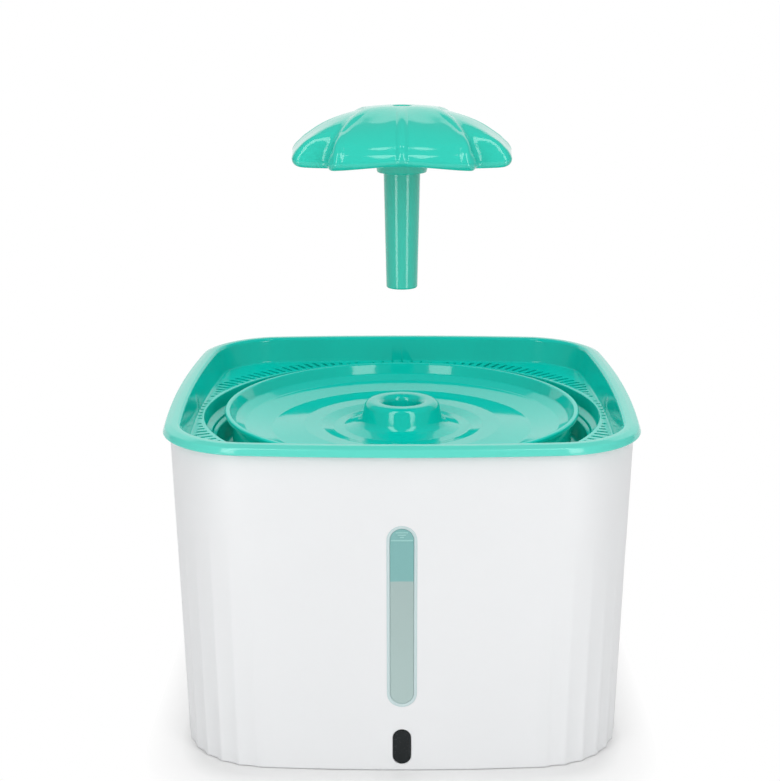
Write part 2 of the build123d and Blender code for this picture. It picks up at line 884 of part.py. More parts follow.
with BuildPart() as spout_stem:
    add(
        revolved(
            [
                (stem_bore, stem_tip_z),
                (stem_tip_radius, stem_tip_z),
                (stem_radius, stem_top_z),
                (stem_radius, stem_top_z + stem_plug),
                (stem_bore, stem_top_z + stem_plug),
            ]
        )
    )
hand_out(spout_stem, "spout_stem")

# ================================================================ riser
web_top = spigot_top_z + riser_web
riser_seal_z = riser_base_z + seal_rise

with BuildPart() as riser_tube:
    add(
        revolved(
            [
                (spigot_radius + socket_fit, riser_base_z),
                (riser_radius, riser_base_z),
                (riser_radius, riser_top),
                (riser_bore, riser_top),
                (riser_bore, web_top + riser_funnel),
                (spigot_bore, web_top),
                (spigot_bore, spigot_top_z),
                (spigot_radius + socket_fit, spigot_top_z),
            ]
        )
    )
    add(
        ring(
            spigot_radius + seal_groove,
            spigot_bore,
            riser_seal_z,
            riser_seal_z + seal_height,
        ),
        mode=Mode.SUBTRACT,
    )
hand_out(riser_tube, "riser_tube")

with BuildPart() as riser_seal:
    add(
        ring(
            spigot_radius + seal_groove,
            spigot_radius + socket_fit / 2,
            riser_seal_z,
            riser_seal_z + seal_height,
        )
    )
hand_out(riser_seal, "riser_seal")

# ================================================================ pump
cup_front_y = pump_face_y + cup_radius + cup_end_room
cup_rear_y = pump_rear_y - cup_radius + cup_end_room
cup_middle_y = (cup_front_y + cup_rear_y) / 2
cup_spacing_y = cup_rear_y - cup_front_y


def across(place):
    """Plane at a place along the rotor's axis, with its Z towards -Y."""
    return Plane.XZ.offset(-place)


def barrel(radius, front, back):
    """Cylinder about the rotor's axis between two places along it."""
    with BuildPart() as made:
        with BuildSketch(across(back)):
            with Locations((0, rotor_z)):
                Circle(radius)
        extrude(amount=back - front)
    return made.part


def pump_block(inset, front, back):
    """Rounded block of the pump's outline between two places along its length."""
    with BuildPart() as made:
        with BuildSketch(across(back)):
            with Locations((0, pump_middle_z)):
                RectangleRounded(
                    pump_width - 2 * inset,
                    pump_height - 2 * inset,
                    pump_corner - inset,
                )
        extrude(amount=back - front)
    return made.part


with BuildPart() as pump_housing:
    add(pump_block(0, pump_face_y, pump_rear_y))
    add(pump_block(pump_wall, potting_front, pump_rear_y), mode=Mode.SUBTRACT)
    add(barrel(well_outer, pump_face_y + pump_wall, well_cap_y))
    add(barrel(rotor_well_radius, pump_face_y, rotor_well_end_y), mode=Mode.SUBTRACT)
    add(barrel(bush_radius, pump_face_y, rotor_well_end_y + bush_length), mode=Mode.SUBTRACT)
    with BuildSketch(Plane.XY.offset(pump_base_z)):
        with Locations((0, cup_middle_y)):
            with GridLocations(cup_spacing_x, cup_spacing_y, 2, 2):
                Circle(cup_stem)
    extrude(amount=cup_socket, mode=Mode.SUBTRACT)
hand_out(pump_housing, "pump_housing")

leg_inner = well_outer + core_gap
leg_outer = leg_inner + core_leg
core_top = rotor_z + well_outer

with BuildPart() as stator_core:
    with BuildSketch(across(core_back_y)):
        with Locations((0, (yoke_bottom + core_top) / 2)):
            Rectangle(2 * leg_outer, core_top - yoke_bottom)
        with Locations((0, (yoke_top + core_top) / 2)):
            Rectangle(2 * (coil_half + core_gap), core_top - yoke_top, mode=Mode.SUBTRACT)
        with Locations((0, rotor_z)):
            Circle(leg_inner, mode=Mode.SUBTRACT)
    extrude(amount=core_stack)
hand_out(stator_core, "stator_core")

with BuildPart() as stator_coil:
    with BuildSketch(Plane.YZ.offset(-coil_half)):
        with Locations(((core_front_y + core_back_y) / 2, (yoke_bottom + yoke_top) / 2)):
            RectangleRounded(core_stack + 2 * coil_build, core_leg + 2 * coil_build, coil_corner)
            Rectangle(core_stack, core_leg, mode=Mode.SUBTRACT)
    extrude(amount=2 * coil_half)
hand_out(stator_coil, "stator_coil")

with BuildPart() as potting:
    add(pump_block(pump_wall, potting_front, pump_rear_y - potting_sink))
    add(barrel(well_outer, potting_front, well_cap_y), mode=Mode.SUBTRACT)
    add(stator_core.part, mode=Mode.SUBTRACT)
    add(stator_coil.part, mode=Mode.SUBTRACT)
hand_out(potting, "potting")

with BuildPart() as suction_cups:
    with BuildSketch(Plane.XY.offset(tank_inner_floor)):
        with Locations((0, cup_middle_y)):
            with GridLocations(cup_spacing_x, cup_spacing_y, 2, 2):
                Circle(cup_radius)
    extrude(amount=cup_height, taper=cup_taper)
    with BuildSketch(Plane.XY.offset(pump_base_z - cup_stem)):
        with Locations((0, cup_middle_y)):
            with GridLocations(cup_spacing_x, cup_spacing_y, 2, 2):
                Circle(cup_stem)
    extrude(amount=cup_stem + cup_socket)
hand_out(suction_cups, "suction_cups")

with BuildPart() as cable_gland:
    with BuildSketch(across(pump_rear_y + gland_length)):
        with Locations((0, pump_middle_z)):
            Circle(gland_radius)
            Circle(lead_bore, mode=Mode.SUBTRACT)
    extrude(amount=gland_length + gland_sink)
hand_out(cable_gland, "cable_gland")

# ---------------------------------------------------------------- volute
with BuildPart() as volute_cover:
    add(barrel(volute_radius, volute_front_y, pump_face_y))
    with BuildSketch(Plane.XY.offset(rotor_z)):
        Circle(spigot_radius)
    extrude(amount=spigot_top_z - rotor_z)
    add(barrel(chamber_radius, chamber_front_y, pump_face_y), mode=Mode.SUBTRACT)
    add(barrel(intake_radius, volute_front_y, chamber_front_y), mode=Mode.SUBTRACT)
    with BuildSketch(Plane.XY.offset(rotor_z)):
        Circle(spigot_bore)
    extrude(amount=spigot_top_z - rotor_z, mode=Mode.SUBTRACT)
    with BuildSketch(across(chamber_front_y)):
        with Locations((0, rotor_z)):
            Circle(bush_radius + spider_boss)
            with PolarLocations((bush_radius + intake_radius) / 2, spider_arms, start_angle=90):
                Rectangle(intake_radius - bush_radius + spider_boss, spider_arm)
    extrude(amount=bush_length)
    add(barrel(bush_radius, volute_front_y, chamber_front_y), mode=Mode.SUBTRACT)
hand_out(volute_cover, "volute_cover")

shaft_front_y = chamber_front_y - bush_length / 2
shaft_end_y = rotor_well_end_y + bush_length / 2

with BuildPart() as shaft_bushes:
    add(barrel(bush_radius, volute_front_y, chamber_front_y))
    add(barrel(bush_radius, rotor_well_end_y, rotor_well_end_y + bush_length))
    add(barrel(shaft_radius, shaft_front_y, shaft_end_y), mode=Mode.SUBTRACT)
hand_out(shaft_bushes, "shaft_bushes")

with BuildPart() as impeller_shaft:
    add(barrel(shaft_radius, shaft_front_y, shaft_end_y))
hand_out(impeller_shaft, "impeller_shaft")

blade_front_y = chamber_front_y + blade_front_gap
plate_front_y = blade_front_y + blade_length
sleeve_front_y = chamber_front_y + sleeve_play
sleeve_end_y = rotor_well_end_y - sleeve_play
blade_root = (shaft_radius + sleeve_radius) / 2
magnet_front_y = plate_front_y + plate_thickness + magnet_gap

with BuildPart() as impeller:
    add(barrel(sleeve_radius, sleeve_front_y, sleeve_end_y))
    add(barrel(impeller_radius, plate_front_y, plate_front_y + plate_thickness))
    with BuildSketch(across(plate_front_y)):
        with Locations((0, rotor_z)):
            with PolarLocations((blade_root + impeller_radius) / 2, impeller_blades):
                Rectangle(impeller_radius - blade_root, blade_thickness)
    extrude(amount=blade_length)
    add(barrel(shaft_radius + shaft_fit, sleeve_front_y, sleeve_end_y), mode=Mode.SUBTRACT)
hand_out(impeller, "impeller")

with BuildPart() as rotor_magnet:
    add(barrel(magnet_radius, magnet_front_y, magnet_front_y + magnet_length))
    add(
        barrel(sleeve_radius, magnet_front_y, magnet_front_y + magnet_length),
        mode=Mode.SUBTRACT,
    )
hand_out(rotor_magnet, "rotor_magnet")

# ---------------------------------------------------------------- pump cover
spigot_way = spigot_radius + cover_fit
slot_column_x = (pump_width - cover_slot_length) / 2 - cover_wall - slot_column_room
hole_radius = dial_radius * dial_hole_share

with BuildPart() as pump_cover:
    add(pump_block(0, cover_front_y, cover_back_y))
    add(pump_block(cover_wall, sponge_front_y, cover_back_y), mode=Mode.SUBTRACT)
    with BuildSketch(Plane.XY.offset(pump_middle_z)):
        Circle(spigot_way)
        with Locations((0, cover_back_y / 2)):
            Rectangle(2 * spigot_way, cover_back_y)
    extrude(amount=pump_height, mode=Mode.SUBTRACT)
    with BuildSketch(across(sponge_front_y)):
        for side in (-1, 1):
            with Locations((side * slot_column_x, pump_middle_z)):
                with GridLocations(0, 2 * cover_slot_width, 1, cover_slots):
                    SlotOverall(cover_slot_length, cover_slot_width)
        with Locations((0, rotor_z)):
            with PolarLocations(hole_radius, intake_holes, start_angle=90):
                Circle(cover_slot_width)
            Circle(dial_pin + dial_pin_fit)
    extrude(amount=cover_wall, mode=Mode.SUBTRACT)
hand_out(pump_cover, "pump_cover")

with BuildPart() as pump_sponge:
    add(pump_block(cover_wall + sponge_gap, sponge_front_y, sponge_back_y))
hand_out(pump_sponge, "pump_sponge")

dial_back_y = cover_front_y - dial_gap
dial_front_y = dial_back_y - dial_thickness

with BuildPart() as flow_dial:
    add(barrel(dial_radius, dial_front_y, dial_back_y))
    with BuildSketch(across(dial_back_y)):
        with Locations((0, rotor_z)):
            with PolarLocations(hole_radius, dial_holes, start_angle=90):
                Circle(cover_slot_width)
    extrude(amount=dial_thickness, mode=Mode.SUBTRACT)
    with BuildSketch(across(dial_front_y)):
        with Locations((0, rotor_z)):
            SlotOverall(2 * (dial_radius - dial_grip_height), dial_grip_width)
    extrude(amount=dial_grip_height)
    add(barrel(dial_pin, dial_back_y, sponge_front_y - dial_pin_end))
hand_out(flow_dial, "flow_dial")
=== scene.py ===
import json
import math

import bmesh
import bpy
from bpy.props import FloatProperty, FloatVectorProperty, IntProperty, PointerProperty
from mathutils import Matrix, Vector, noise


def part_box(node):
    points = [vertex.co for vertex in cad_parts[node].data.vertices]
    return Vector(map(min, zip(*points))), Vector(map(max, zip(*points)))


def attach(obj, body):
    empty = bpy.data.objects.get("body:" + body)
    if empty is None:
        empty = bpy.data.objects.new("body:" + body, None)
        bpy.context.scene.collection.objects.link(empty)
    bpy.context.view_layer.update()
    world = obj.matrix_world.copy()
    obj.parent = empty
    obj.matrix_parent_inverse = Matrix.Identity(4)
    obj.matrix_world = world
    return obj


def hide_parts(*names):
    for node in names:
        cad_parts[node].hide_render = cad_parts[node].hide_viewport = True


# Looks of a pet drinking fountain: a fluted tank with a level window, a drip tray, a
# drinking dish and a flower spout, made round the fixed frame of the same size. Metres,
# +Z up, the window towards -Y. The profiles below are written in millimetres.

bl_info = {
    "name": "Pet fountain looks",
    "version": (1, 0, 0),
    "blender": (4, 5, 0),
    "location": "View3D > Sidebar > Fountain",
    "description": "Builds the tank, tray, dish and flower spout of a pet fountain",
    "category": "Object",
}

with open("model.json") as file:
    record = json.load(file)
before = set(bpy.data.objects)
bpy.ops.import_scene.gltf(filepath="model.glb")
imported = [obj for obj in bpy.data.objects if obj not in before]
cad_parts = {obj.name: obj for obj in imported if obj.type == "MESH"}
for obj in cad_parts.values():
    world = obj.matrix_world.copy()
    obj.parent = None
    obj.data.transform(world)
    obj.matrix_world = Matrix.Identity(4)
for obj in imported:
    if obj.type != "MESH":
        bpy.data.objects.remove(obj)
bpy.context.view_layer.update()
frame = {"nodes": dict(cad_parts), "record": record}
TANK_LOW, TANK_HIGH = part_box("tank")
TRAY_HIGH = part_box("tray")[1]
DISH_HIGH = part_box("dish")[1]
CAP_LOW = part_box("flower_cap")[0]
STEM_LOW, STEM_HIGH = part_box("spout_stem")
FOAM_LOW, FOAM_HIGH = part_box("filter_foam")
CARBON_LOW, CARBON_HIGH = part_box("filter_carbon")
FLEECE_LOW, FLEECE_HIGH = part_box("filter_fleece")
SPONGE_LOW, SPONGE_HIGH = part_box("pump_sponge")

MM = 0.001
FULL_TURN = 2 * math.pi
SHARP_EDGE = math.radians(38)
NEARLY_STRAIGHT = math.radians(179)  # a corner this open isn't rounded
MOST_OF_A_SIDE = 0.49  # what one corner's rounding may take of the side next to it
RIM_BOW = 775.0  # radius of the rim's bowed sides
CORNER_STEPS = 60  # points in each corner of a bowed square
SIDE_STEPS = 24  # points along each of its sides
LATHE_STEPS = 256  # points round a turned piece
PETAL_STEPS = 720  # points round the flower


# ---------------------------------------------------------------- sizes and colours
class FountainTankSizes(bpy.types.PropertyGroup):
    half_top: FloatProperty(
        name="Half width at the top",
        description="From the axis to the wall's outside, at its top edge",
        default=0.1018, unit="LENGTH")
    half_base: FloatProperty(
        name="Half width at the base",
        description="From the axis to the wall's outside, at the base",
        default=0.0985, unit="LENGTH")
    corner_top: FloatProperty(
        name="Corner at the top", description="Radius of the round corners at the top edge",
        default=0.0388, unit="LENGTH")
    corner_base: FloatProperty(
        name="Corner at the base", description="Radius of the round corners at the base",
        default=0.037, unit="LENGTH")
    wall: FloatProperty(
        name="Wall", description="Thickness of the wall", default=0.0026, unit="LENGTH")
    flute_depth: FloatProperty(
        name="Flute depth", description="Depth of the corner flutes at the base",
        default=0.0008, unit="LENGTH")
    flute_top: FloatProperty(
        name="Flute top", description="Height where the flutes run out",
        default=0.112, unit="LENGTH")
    flutes: IntProperty(
        name="Flutes", description="Number of flutes in each corner", default=6, min=1)


class FountainTraySizes(bpy.types.PropertyGroup):
    rim_half: FloatProperty(
        name="Half width of the rim", description="From the axis to the rim's side",
        default=TRAY_HIGH.x, unit="LENGTH")
    rim_corner: FloatProperty(
        name="Rim corner", description="Radius of the rim's round corners",
        default=0.04, unit="LENGTH")
    well: FloatProperty(
        name="Well", description="Radius of the round well", default=0.0923, unit="LENGTH")
    slot_pitch: FloatProperty(
        name="Slot pitch", description="Angle between two drain slots of the deck",
        default=math.radians(2.53), subtype="ANGLE")
    slot_width: FloatProperty(
        name="Slot width", description="Width of a drain slot", default=0.0017, unit="LENGTH")


class FountainDishSizes(bpy.types.PropertyGroup):
    rim: FloatProperty(
        name="Rim", description="Radius of the dish's rim", default=DISH_HIGH.x, unit="LENGTH")
    floor: FloatProperty(
        name="Floor", description="Height of the bowl's lowest place", default=0.126, unit="LENGTH")
    nozzle: FloatProperty(
        name="Nozzle bore", description="Radius of the hole that takes the stem",
        default=0.0086, unit="LENGTH")


class FountainSpoutSizes(bpy.types.PropertyGroup):
    petal_reach: FloatProperty(
        name="Petal reach", description="From the axis to the middle of a petal's outline",
        default=0.05, unit="LENGTH")
    petal_half: FloatProperty(
        name="Petal half width", description="Half of a petal's width at its corners",
        default=0.0325, unit="LENGTH")
    proud: FloatProperty(
        name="Front petals proud",
        description="Step down from the front and back petals to the side ones",
        default=0.0010, unit="LENGTH")
    pleat: FloatProperty(
        name="Hollow depth", description="Depth of the hollows between a petal's ribs",
        default=0.0015, unit="LENGTH")
    stem_top: FloatProperty(
        name="Stem radius at the hub", description="Radius of the stem's upper end",
        default=0.0083, unit="LENGTH")
    stem_tip: FloatProperty(
        name="Stem radius at the tip", description="Radius of the stem's lower end",
        default=0.00715, unit="LENGTH")


class FountainColours(bpy.types.PropertyGroup):
    white: FloatVectorProperty(
        name="Tank white", description="Colour of the moulded tank", subtype="COLOR", size=3,
        default=(0.80, 0.81, 0.82), min=0, max=1)
    mint: FloatVectorProperty(
        name="Mint", description="Colour of the tray and the dish", subtype="COLOR", size=3,
        default=(0.003, 0.67, 0.56), min=0, max=1)
    mint_spout: FloatVectorProperty(
        name="Spout mint", description="Colour of the flower spout", subtype="COLOR", size=3,
        default=(0.03, 0.61, 0.48), min=0, max=1)
    # The window's upper colour is painted: it stands for the well's green seen through the pane.
    window_painted_well: FloatVectorProperty(
        name="Window at the well", description="Frosted colour in front of the tray's well",
        subtype="COLOR", size=3, default=(0.205, 0.437, 0.426), min=0, max=1)
    window_low: FloatVectorProperty(
        name="Window in the tank", description="Frosted colour in front of the open tank",
        subtype="COLOR", size=3, default=(0.35, 0.455, 0.44), min=0, max=1)
    badge: FloatVectorProperty(
        name="Badge", description="Colour of the bare badge", subtype="COLOR", size=3,
        default=(0.006, 0.009, 0.010), min=0, max=1)


class FountainStageSizes(bpy.types.PropertyGroup):
    camera_back: FloatProperty(
        name="Camera distance", description="From the axis to the camera",
        default=0.673, unit="LENGTH")
    camera_height: FloatProperty(
        name="Camera height", description="Above the floor", default=0.3222, unit="LENGTH")
    camera_tilt: FloatProperty(
        name="Camera tilt", description="Downwards from level", default=0.26014, subtype="ANGLE")
    lens: FloatProperty(
        name="Lens", description="Focal length on a 36 mm high sensor",
        default=68.38, subtype="DISTANCE_CAMERA")
    shift: FloatProperty(
        name="Shift", description="Sideways shift of the lens", default=-0.01524)
    sky: FloatProperty(
        name="Sky", description="Level of the even light from all round", default=0.26, min=0)
    front_boxes: FloatProperty(
        name="Front boxes", description="Glow of the soft boxes left and right in front",
        default=4.1, min=0)
    top_fill: FloatProperty(
        name="Top fill", description="Glow of the wide fill overhead", default=1.35, min=0)
    back_fill: FloatProperty(
        name="Back fill", description="Glow of the wide fill behind", default=1.7, min=0)


# ---------------------------------------------------------------- meshes
def piece_of(name, points, faces):
    """New piece from points in millimetres, with its faces turned outwards."""
    mesh = bpy.data.meshes.new(name)
    mesh.from_pydata([Vector(point) * MM for point in points], [], faces)
    shape = bmesh.new()
    shape.from_mesh(mesh)
    bmesh.ops.recalc_face_normals(shape, faces=shape.faces)
    shape.to_mesh(mesh)
    shape.free()
    piece = bpy.data.objects.new(name, mesh)
    bpy.context.scene.collection.objects.link(piece)
    return piece


def lofted(name, rings, closed=False):
    """Piece through rings of equally many points. A closed one joins its last ring to its
    first, and an open one gets a cap at each end."""
    count = len(rings[0])
    points = [point for ring in rings for point in ring]
    pairs = [(low, low + 1) for low in range(len(rings) - 1)]
    if closed:
        pairs.append((len(rings) - 1, 0))
    faces = [
        (low * count + here, low * count + there, high * count + there, high * count + here)
        for low, high in pairs
        for here, there in ((step, (step + 1) % count) for step in range(count))
    ]
    if not closed:
        faces.append(tuple(reversed(range(count))))
        faces.append(tuple(range(count * (len(rings) - 1), count * len(rings))))
    return piece_of(name, points, faces)


def joined(name, pieces):
    """One piece from several, which are used up."""
    shape = bmesh.new()
    for piece in pieces:
        shape.from_mesh(piece.data)
        drop(piece)
    mesh = bpy.data.meshes.new(name)
    shape.to_mesh(mesh)
    shape.free()
    piece = bpy.data.objects.new(name, mesh)
    bpy.context.scene.collection.objects.link(piece)
    return piece


def drop(piece):
    """Removes a helper piece and its mesh."""
    mesh = piece.data
    bpy.data.objects.remove(piece)
    bpy.data.meshes.remove(mesh)


def carved(piece, tool, operation="DIFFERENCE"):
    """Cuts a tool out of a piece, or joins it on, and uses the tool up. A cut that goes
    wrong loses most of the piece's faces, and stops the script."""
    cut = piece.modifiers.new("cut", "BOOLEAN")
    cut.operation = operation
    cut.solver = "EXACT"
    cut.object = tool
    before = len(piece.data.polygons)
    bpy.context.view_layer.update()
    graph = bpy.context.evaluated_depsgraph_get()
    mesh = bpy.data.meshes.new_from_object(piece.evaluated_get(graph))
    piece.modifiers.clear()
    plain = piece.data
    piece.data = mesh
    bpy.data.meshes.remove(plain)
    drop(tool)
    if len(mesh.polygons) < before / 2:
        raise RuntimeError(f"{piece.name}: the cut went wrong")


def finished(piece, slot, body, *nodes, finish=None):
    """Smooths a piece, gives it its slot's finish, or a named one, and hangs it on its body
    in place of CAD nodes."""
    piece.data.shade_smooth()
    piece.data.set_sharp_from_angle(angle=SHARP_EDGE)
    piece.data.materials.clear()
    piece.data.materials.append(finish_of(finish or slot))
    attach(piece, body)
    if nodes:
        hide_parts(*nodes)


def rounded(corners, steps=5):
    """Profile through (reach, height, round) corners, each rounded by its radius. The
    first and last corners only give the direction and are left out."""
    points = []
    for before, corner, after in zip(corners, corners[1:], corners[2:]):
        here = Vector(corner[:2])
        back = Vector(before[:2]) - here
        on = Vector(after[:2]) - here
        opening = back.angle(on)
        if corner[2] == 0 or opening > NEARLY_STRAIGHT:
            points.append(tuple(here))
            continue
        room = MOST_OF_A_SIDE * min(back.length, on.length)
        reach = min(corner[2] / math.tan(opening / 2), room)
        radius = reach * math.tan(opening / 2)
        middle = (back.normalized() + on.normalized()).normalized()
        centre = here + middle * (radius / math.sin(opening / 2))
        start = here + back.normalized() * reach - centre
        end = here + on.normalized() * reach - centre
        first = math.atan2(start.y, start.x)
        sweep = (math.atan2(end.y, end.x) - first + math.pi) % FULL_TURN - math.pi
        for step in range(steps + 1):
            angle = first + sweep * step / steps
            x, y = radius * math.cos(angle), radius * math.sin(angle)
            points.append((centre.x + x, centre.y + y))
    return points


def rounded_loop(corners, steps=5):
    """The same for a profile that closes on itself."""
    return rounded([corners[-1], *corners, corners[0]], steps)


def circle(radius, height, angles):
    """Round ring of points at given angles."""
    return [(radius * math.cos(angle), radius * math.sin(angle), height) for angle in angles]


def even_angles(count):
    """Angles of a full turn in even steps."""
    return [FULL_TURN * step / count for step in range(count)]


def turned(name, profile, steps=LATHE_STEPS):
    """Piece turned about the axis from a closed profile of (radius, height) points."""
    angles = even_angles(steps)
    return lofted(name, [circle(radius, height, angles) for radius, height in profile], closed=True)


def smooth_step(low, high, value):
    """0 below low, 1 above high and a smooth rise between them."""
    share = min(max((value - low) / (high - low), 0.0), 1.0)
    return share * share * (3 - 2 * share)


def bowed_square(half, corner, height, rim_half, flutes=1, depth=0.0):
    """Ring of a square with bowed sides and round corners, fluted to a depth."""
    bow = RIM_BOW - (rim_half - half)
    middle = bow - half
    inner = bow - corner
    centre = (math.sqrt(2 * inner**2 - middle**2) - middle) / 2
    first = math.atan2(centre, centre + middle)
    ring = []
    for quarter in range(4):
        turn = Matrix.Rotation(quarter * math.pi / 2, 2)
        for step in range(CORNER_STEPS):
            share = step / CORNER_STEPS
            angle = first + (math.pi / 2 - 2 * first) * share
            wave = (share * flutes) % 1
            reach = corner - depth * 4 * wave * (1 - wave)
            spot = Vector((centre + reach * math.cos(angle), centre + reach * math.sin(angle)))
            ring.append((*(turn @ spot), height))
        for step in range(SIDE_STEPS):
            angle = math.pi / 2 - first + 2 * first * step / SIDE_STEPS
            spot = Vector((bow * math.cos(angle), bow * math.sin(angle) - middle))
            ring.append((*(turn @ spot), height))
    return ring


def stadium(length, width, steps=16):
    """Outline of an upright slot with round ends."""
    radius = width / 2
    run = length / 2 - radius
    ends = [math.pi * step / steps for step in range(steps + 1)]
    upper = [(radius * math.cos(angle), run + radius * math.sin(angle)) for angle in ends]
    return upper + [(-x, -y) for x, y in upper]


def plate(name, place, levels, closed=False):
    """Slot-shaped piece through (length, width, depth) levels, set on a place."""
    rings = [
        [tuple(place @ Vector((x, y, depth))) for x, y in stadium(length, width)]
        for length, width, depth in levels
    ]
    return lofted(name, rings, closed)


# ---------------------------------------------------------------- finishes
class Signal:
    """Number that varies over a surface; arithmetic on it adds Math nodes."""

    def __init__(self, wiring, socket):
        self.wiring = wiring
        self.socket = socket

    def math(self, operation, *values):
        """Result of a Math node on this number and others."""
        settings = {"operation": operation}
        made = self.wiring.node("ShaderNodeMath", settings, dict(enumerate((self, *values))))
        return Signal(self.wiring, made.outputs[0])

    def limited(self):
        """The same number, kept from 0 to 1."""
        return self.math("MAXIMUM", 0.0).math("MINIMUM", 1.0)

    def __add__(self, other):
        return self.math("ADD", other)

    def __sub__(self, other):
        return self.math("SUBTRACT", other)

    def __rsub__(self, other):
        return self.math("MULTIPLY", -1).math("ADD", other)

    def __mul__(self, other):
        return self.math("MULTIPLY", other)

    def __truediv__(self, other):
        return self.math("DIVIDE", other)

    def __pow__(self, other):
        return self.math("POWER", other)

    __radd__ = __add__


class Wiring:
    """Node tree of a material or of the world."""

    def __init__(self, tree):
        self.tree = tree
        tree.nodes.clear()

    def node(self, kind, settings=None, values=None):
        """Adds a node: its settings come first, then the values or links of its sockets."""
        made = self.tree.nodes.new(kind)
        for name, value in (settings or {}).items():
            if name == "stops":
                self.set_stops(made.color_ramp.elements, value)
            else:
                setattr(made, name, value)
        self.feed(made, values or {})
        return made

    def feed(self, node, values):
        """Links or sets the sockets of a node."""
        for name, value in values.items():
            if isinstance(value, Signal):
                value = value.socket
            if isinstance(value, bpy.types.NodeSocket):
                self.tree.links.new(value, node.inputs[name])
            else:
                node.inputs[name].default_value = value

    def set_stops(self, elements, stops):
        """Writes the stops of a colour ramp."""
        while len(elements) < len(stops):
            elements.new(0.5)
        for element, (place, level) in zip(elements, stops):
            element.position = place
            element.color = (level, level, level, 1)

    def seen(self):
        """1 for rays from the camera, reflections and clear pieces, and 0 for the rest."""
        path = self.node("ShaderNodeLightPath")
        camera, glossy, clear = (
            Signal(self, path.outputs[f"Is {kind} Ray"])
            for kind in ("Camera", "Glossy", "Transmission"))
        return camera.math("MAXIMUM", glossy).math("MAXIMUM", clear)


class Finish(Wiring):
    """Material of one kind of piece."""

    def __init__(self, name):
        self.material = bpy.data.materials.new(name)
        self.material.use_nodes = True
        super().__init__(self.material.node_tree)
        self.spot = self.node("ShaderNodeTexCoord").outputs["Object"]
        self.shader = self.node("ShaderNodeBsdfPrincipled")
        surface = {"Surface": self.shader.outputs[0]}
        self.output = self.node("ShaderNodeOutputMaterial", values=surface)

    def stretched(self, *scale):
        """Object place stretched along its axes."""
        values = {"Vector": self.spot, "Scale": scale}
        return self.node("ShaderNodeMapping", values=values).outputs[0]

    def noise(self, scale, detail=2.0, spot=None):
        """Cloudy pattern from 0 to 1; scale is in waves per metre."""
        values = {"Vector": spot or self.spot, "Scale": scale, "Detail": detail}
        return Signal(self, self.node("ShaderNodeTexNoise", values=values).outputs["Fac"])

    def cells(self, scale):
        """Distance to the middle of the nearest cell."""
        values = {"Vector": self.spot, "Scale": scale}
        made = self.node("ShaderNodeTexVoronoi", values=values)
        return Signal(self, made.outputs["Distance"])

    def axis(self, name):
        """Object place along one axis, in metres."""
        made = self.node("ShaderNodeSeparateXYZ", values={"Vector": self.spot})
        return Signal(self, made.outputs[name])

    def facing_out(self):
        """Above 0 where the skin faces away from the upright axis, below 0 where it faces
        it. The size is the distance from the axis in metres where it faces straight out."""
        normal = self.node("ShaderNodeTexCoord").outputs["Normal"]
        values = {0: self.spot, 1: (1, 1, 0)}
        level = self.node("ShaderNodeVectorMath", {"operation": "MULTIPLY"}, values)
        values = {0: normal, 1: level.outputs[0]}
        made = self.node("ShaderNodeVectorMath", {"operation": "DOT_PRODUCT"}, values)
        return Signal(self, made.outputs["Value"])

    def ramp(self, signal, *stops):
        """Signal sent through grey stops of (place, level)."""
        made = self.node("ShaderNodeValToRGB", {"stops": stops}, {"Fac": signal})
        return Signal(self, made.outputs["Color"])

    def mixed(self, share, first, second):
        """Colour between two colours."""
        ends = [
            colour if isinstance(colour, bpy.types.NodeSocket) else (*colour, 1)
            for colour in (first, second)
        ]
        values = {0: share, 6: ends[0], 7: ends[1]}  # the colour sockets of a Mix node
        return self.node("ShaderNodeMix", {"data_type": "RGBA"}, values).outputs[2]

    def scuffs(self, density=0.5):
        """Thin, short marks in two directions."""
        one = self.noise(60, 4, self.stretched(1, 14, 14))
        two = self.noise(55, 4, self.stretched(13, 1, 11))
        return self.ramp(one.math("MAXIMUM", two), (0.60, 0.0), (0.72, density))

    def bump(self, height, depth):
        """Feeds the normal from a height, with its depth in metres."""
        values = {"Height": height, "Distance": depth}
        self.feed(self.shader, {"Normal": self.node("ShaderNodeBump", values=values).outputs[0]})


def shade(colour, factor):
    """A colour made lighter or darker."""
    return tuple(min(level * factor, 1.0) for level in colour)


def moulded(name, colour, roughness, grain, grain_depth, spread=0.06, painted_sheen=None):
    """Moulded plastic: slow flow marks, a fine grain and faint scuffs. A painted sheen is a
    paler (colour, start, full): a painted reflection that begins at one height and is full at
    another, on the skin that faces up or away from the axis."""
    finish = Finish(name)
    flow = finish.noise(18, 3, finish.stretched(1, 1, 0.35))
    fine = finish.noise(grain, 3)
    scuffs = finish.scuffs()
    base = finish.mixed(flow, shade(colour, 1 - spread), shade(colour, 1 + spread / 2))
    # Painted sheen: high up, the skin that faces up or out gets the paler colour.
    if painted_sheen:
        sheen_colour, start, full = painted_sheen
        high = ((finish.axis("Z") - start) / (full - start)).limited()
        away = ((finish.facing_out() + 0.05) / 0.03).limited()
        base = finish.mixed(high * away, base, sheen_colour)
    finish.feed(finish.shader, {
        "Base Color": base,
        "Roughness": roughness + fine * 0.03 + flow * 0.03 + scuffs * 0.10,
    })
    finish.bump(fine + scuffs * -0.4, grain_depth)
    return finish


def frosted_window(name, colours):
    """Frosted pane with the view through it painted on: the green of the tray's well, which would
    show through its upper part, is painted there, and its lower part gets slowly paler downwards."""
    finish = Finish(name)
    height = finish.axis("Z")
    frost = finish.noise(1500, 3)
    edge = finish.noise(90, 2)
    # Painted view through: the well's green is painted above this height, with a ragged edge.
    painted_well_edge, blur = 0.0876, 0.0006
    above = ((height + (edge - 0.5) * blur - painted_well_edge) / blur).limited()
    pale = ((0.112 - height) / 0.09).limited()
    lower = finish.mixed(pale, colours.window_low, shade(colours.window_low, 1.19))
    finish.feed(finish.shader, {
        "Base Color": finish.mixed(above, lower, colours.window_painted_well),
        "Roughness": 0.34 + frost * 0.12,
        "Specular IOR Level": 0.4,
    })
    finish.bump(frost, 0.00003)
    return finish


